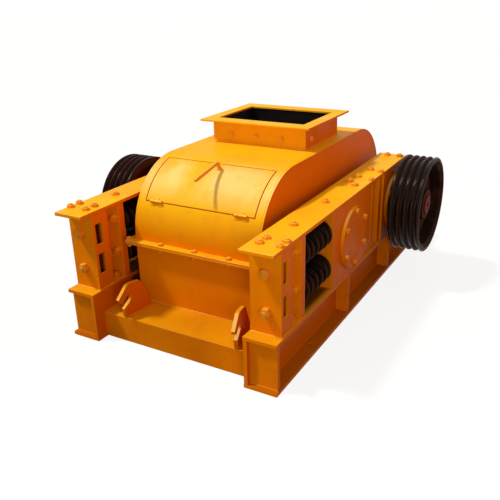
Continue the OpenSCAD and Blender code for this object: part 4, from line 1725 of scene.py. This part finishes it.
@dataclass(frozen=True)
class Viewpoint:
    """The camera: its place, where it looks and its lens."""

    place: tuple[float, float, float] = (1.577, -2.963, 1.579)
    azimuth: float = 30.19
    elevation: float = 22.70
    roll: float = -1.42
    lens: float = 45.04
    sensor: float = 36.0

    def build(self) -> None:
        """Adds the camera to the scene."""
        turn, tip, roll = (math.radians(a) for a in (self.azimuth, self.elevation, self.roll))
        right = Vector((math.cos(turn), math.sin(turn), 0))
        ahead = Vector((-math.sin(turn) * math.cos(tip), math.cos(turn) * math.cos(tip), -math.sin(tip)))
        up = right.cross(ahead)
        level = (right * math.cos(roll) + up * math.sin(roll),
                 up * math.cos(roll) - right * math.sin(roll), -ahead)
        data = bpy.data.cameras.new("camera")
        data.lens = self.lens
        data.sensor_width = self.sensor
        camera = linked("camera", data)
        camera.matrix_world = Matrix.Translation(self.place) @ Matrix(level).transposed().to_4x4()
        bpy.context.scene.camera = camera


@dataclass(frozen=True)
class Lamp:
    """A sun lamp with a wide disc, which lights like a softbox far away."""

    name: str
    place: tuple[float, float, float]
    strength: float
    disc: float
    colour: str = "#FFFFFF"
    distance: float = 5.0

    def build(self) -> None:
        """Adds the lamp, which shines from its place towards the origin."""
        data = bpy.data.lights.new(self.name, "SUN")
        data.energy = self.strength
        data.angle = math.radians(self.disc)
        data.color = linear(self.colour)[:3]
        way = Vector(self.place).normalized()
        linked(self.name, data).matrix_world = aimed(way * self.distance, way)


@dataclass(frozen=True)
class Softbox:
    """A square lamp with a white cloth in front of it, near the machine."""

    name: str
    place: tuple[float, float, float]
    power: float
    size: float
    colour: str = "#FFFFFF"
    target: tuple[float, float, float] = (0.0, 0.0, 0.4)

    def build(self) -> None:
        """Adds the lamp, which shines from its place towards the middle of the machine."""
        data = bpy.data.lights.new(self.name, "AREA")
        data.energy = self.power
        data.size = self.size
        data.color = linear(self.colour)[:3]
        place = Vector(self.place)
        linked(self.name, data).matrix_world = aimed(place, place - Vector(self.target))


@dataclass(frozen=True)
class Studio:
    """A plain pale floor under a white sky, with soft lamps."""

    ambient: float = 0.42
    sky_light: str = "#FFF0E0"
    reach: float = 60.0
    glow: float = 0.86
    paper: str = "#6E6E6E"
    paper_unseen: str = "#6A6460"
    lamps: tuple[Lamp | Softbox, ...] = (
        Lamp("key_lamp", (-0.47, -0.25, 0.86), 2.35, 6.0, "#FFF8EE"),
        Softbox("front_softbox", (2.0, -2.9, 1.05), 23.0, 1.0, "#FFF1E0"),
        Lamp("side_lamp", (0.88, -0.2, 0.42), 0.1, 60.0, "#FFF1E0"),
    )

    def seen(self, tree: bpy.types.NodeTree) -> bpy.types.NodeSocket:
        """Tells what is seen from what only lights the machine.

        Args:
            tree: The node tree of the floor or the world.

        Returns:
            A factor that is 1 for what the camera sees, directly, in a reflection or through glass.
        """
        path = node(tree, "LightPath")
        seen = path["Is Camera Ray"]
        for kind in ("Is Glossy Ray", "Is Transmission Ray"):
            seen = node(tree, "Math", {0: seen, 1: path[kind]}, operation="MAXIMUM")[0]
        return seen

    def sky(self) -> None:
        """Makes the world white where it is seen, and a dimmer grey where it lights."""
        world = bpy.data.worlds.new("studio")
        world.use_nodes = True
        tree = world.node_tree
        tree.nodes.clear()
        dim = node(tree, "Background", {"Color": linear(self.sky_light), "Strength": self.ambient})
        white = node(tree, "Background", {"Color": linear("#FFFFFF"), "Strength": 1.0})
        mix = node(tree, "MixShader", {0: self.seen(tree), 1: dim[0], 2: white[0]})
        node(tree, "OutputWorld", {0: mix[0]})
        bpy.context.scene.world = world

    def floor(self) -> None:
        """Adds the floor, nearly white where it is seen, which still takes the shadow."""
        part = bmesh.new()
        bmesh.ops.create_grid(part, x_segments=1, y_segments=1, size=self.reach)
        mesh = bpy.data.meshes.new("floor")
        part.to_mesh(mesh)
        part.free()
        ground = linked("floor", mesh)
        paper = bpy.data.materials.new("white_paper")
        paper.use_nodes = True
        tree = paper.node_tree
        tree.nodes.clear()
        pale = node(tree, "BsdfDiffuse", {"Color": linear(self.paper)})
        glow = node(tree, "Emission", {"Color": linear("#FFFFFF"), "Strength": self.glow})
        lit = node(tree, "AddShader", {0: pale[0], 1: glow[0]})
        dull = node(tree, "BsdfDiffuse", {"Color": linear(self.paper_unseen)})
        mix = node(tree, "MixShader", {0: self.seen(tree), 1: dull[0], 2: lit[0]})
        node(tree, "OutputMaterial", {0: mix[0]})
        mesh.materials.append(paper)

    def build(self) -> None:
        """Builds the sky, the floor and the lamps."""
        bpy.context.scene.view_settings.view_transform = "Standard"
        self.sky()
        self.floor()
        for lamp in self.lamps:
            lamp.build()


def dress_frame() -> None:
    """Gives every CAD node the finish of its slot in the record."""
    slots = {part["node"]: part["material_slot"] for part in frame["record"]["subparts"]}
    for name, piece in frame["nodes"].items():
        piece.data.materials.clear()
        piece.data.materials.append(SLOTS[slots[name]].material())


def main() -> None:
    """Builds the camera, the studio and every sub-assembly."""
    logging.basicConfig(level=logging.INFO, format="%(name)s %(message)s")
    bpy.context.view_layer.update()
    Viewpoint().build()
    Studio().build()
    dress_frame()
    hood = Hood()
    for assembly in (BaseFrame(), TopRails(), SpringEnd(), Bearings(), Rolls(), Pulleys(),
                     LowerHousing(), hood, InspectionDoor(hood), FeedHopper(), LiftingHooks()):
        LOG.info("building %s", type(assembly).__name__)
        assembly.build()


if __name__ == "__main__":
    main()
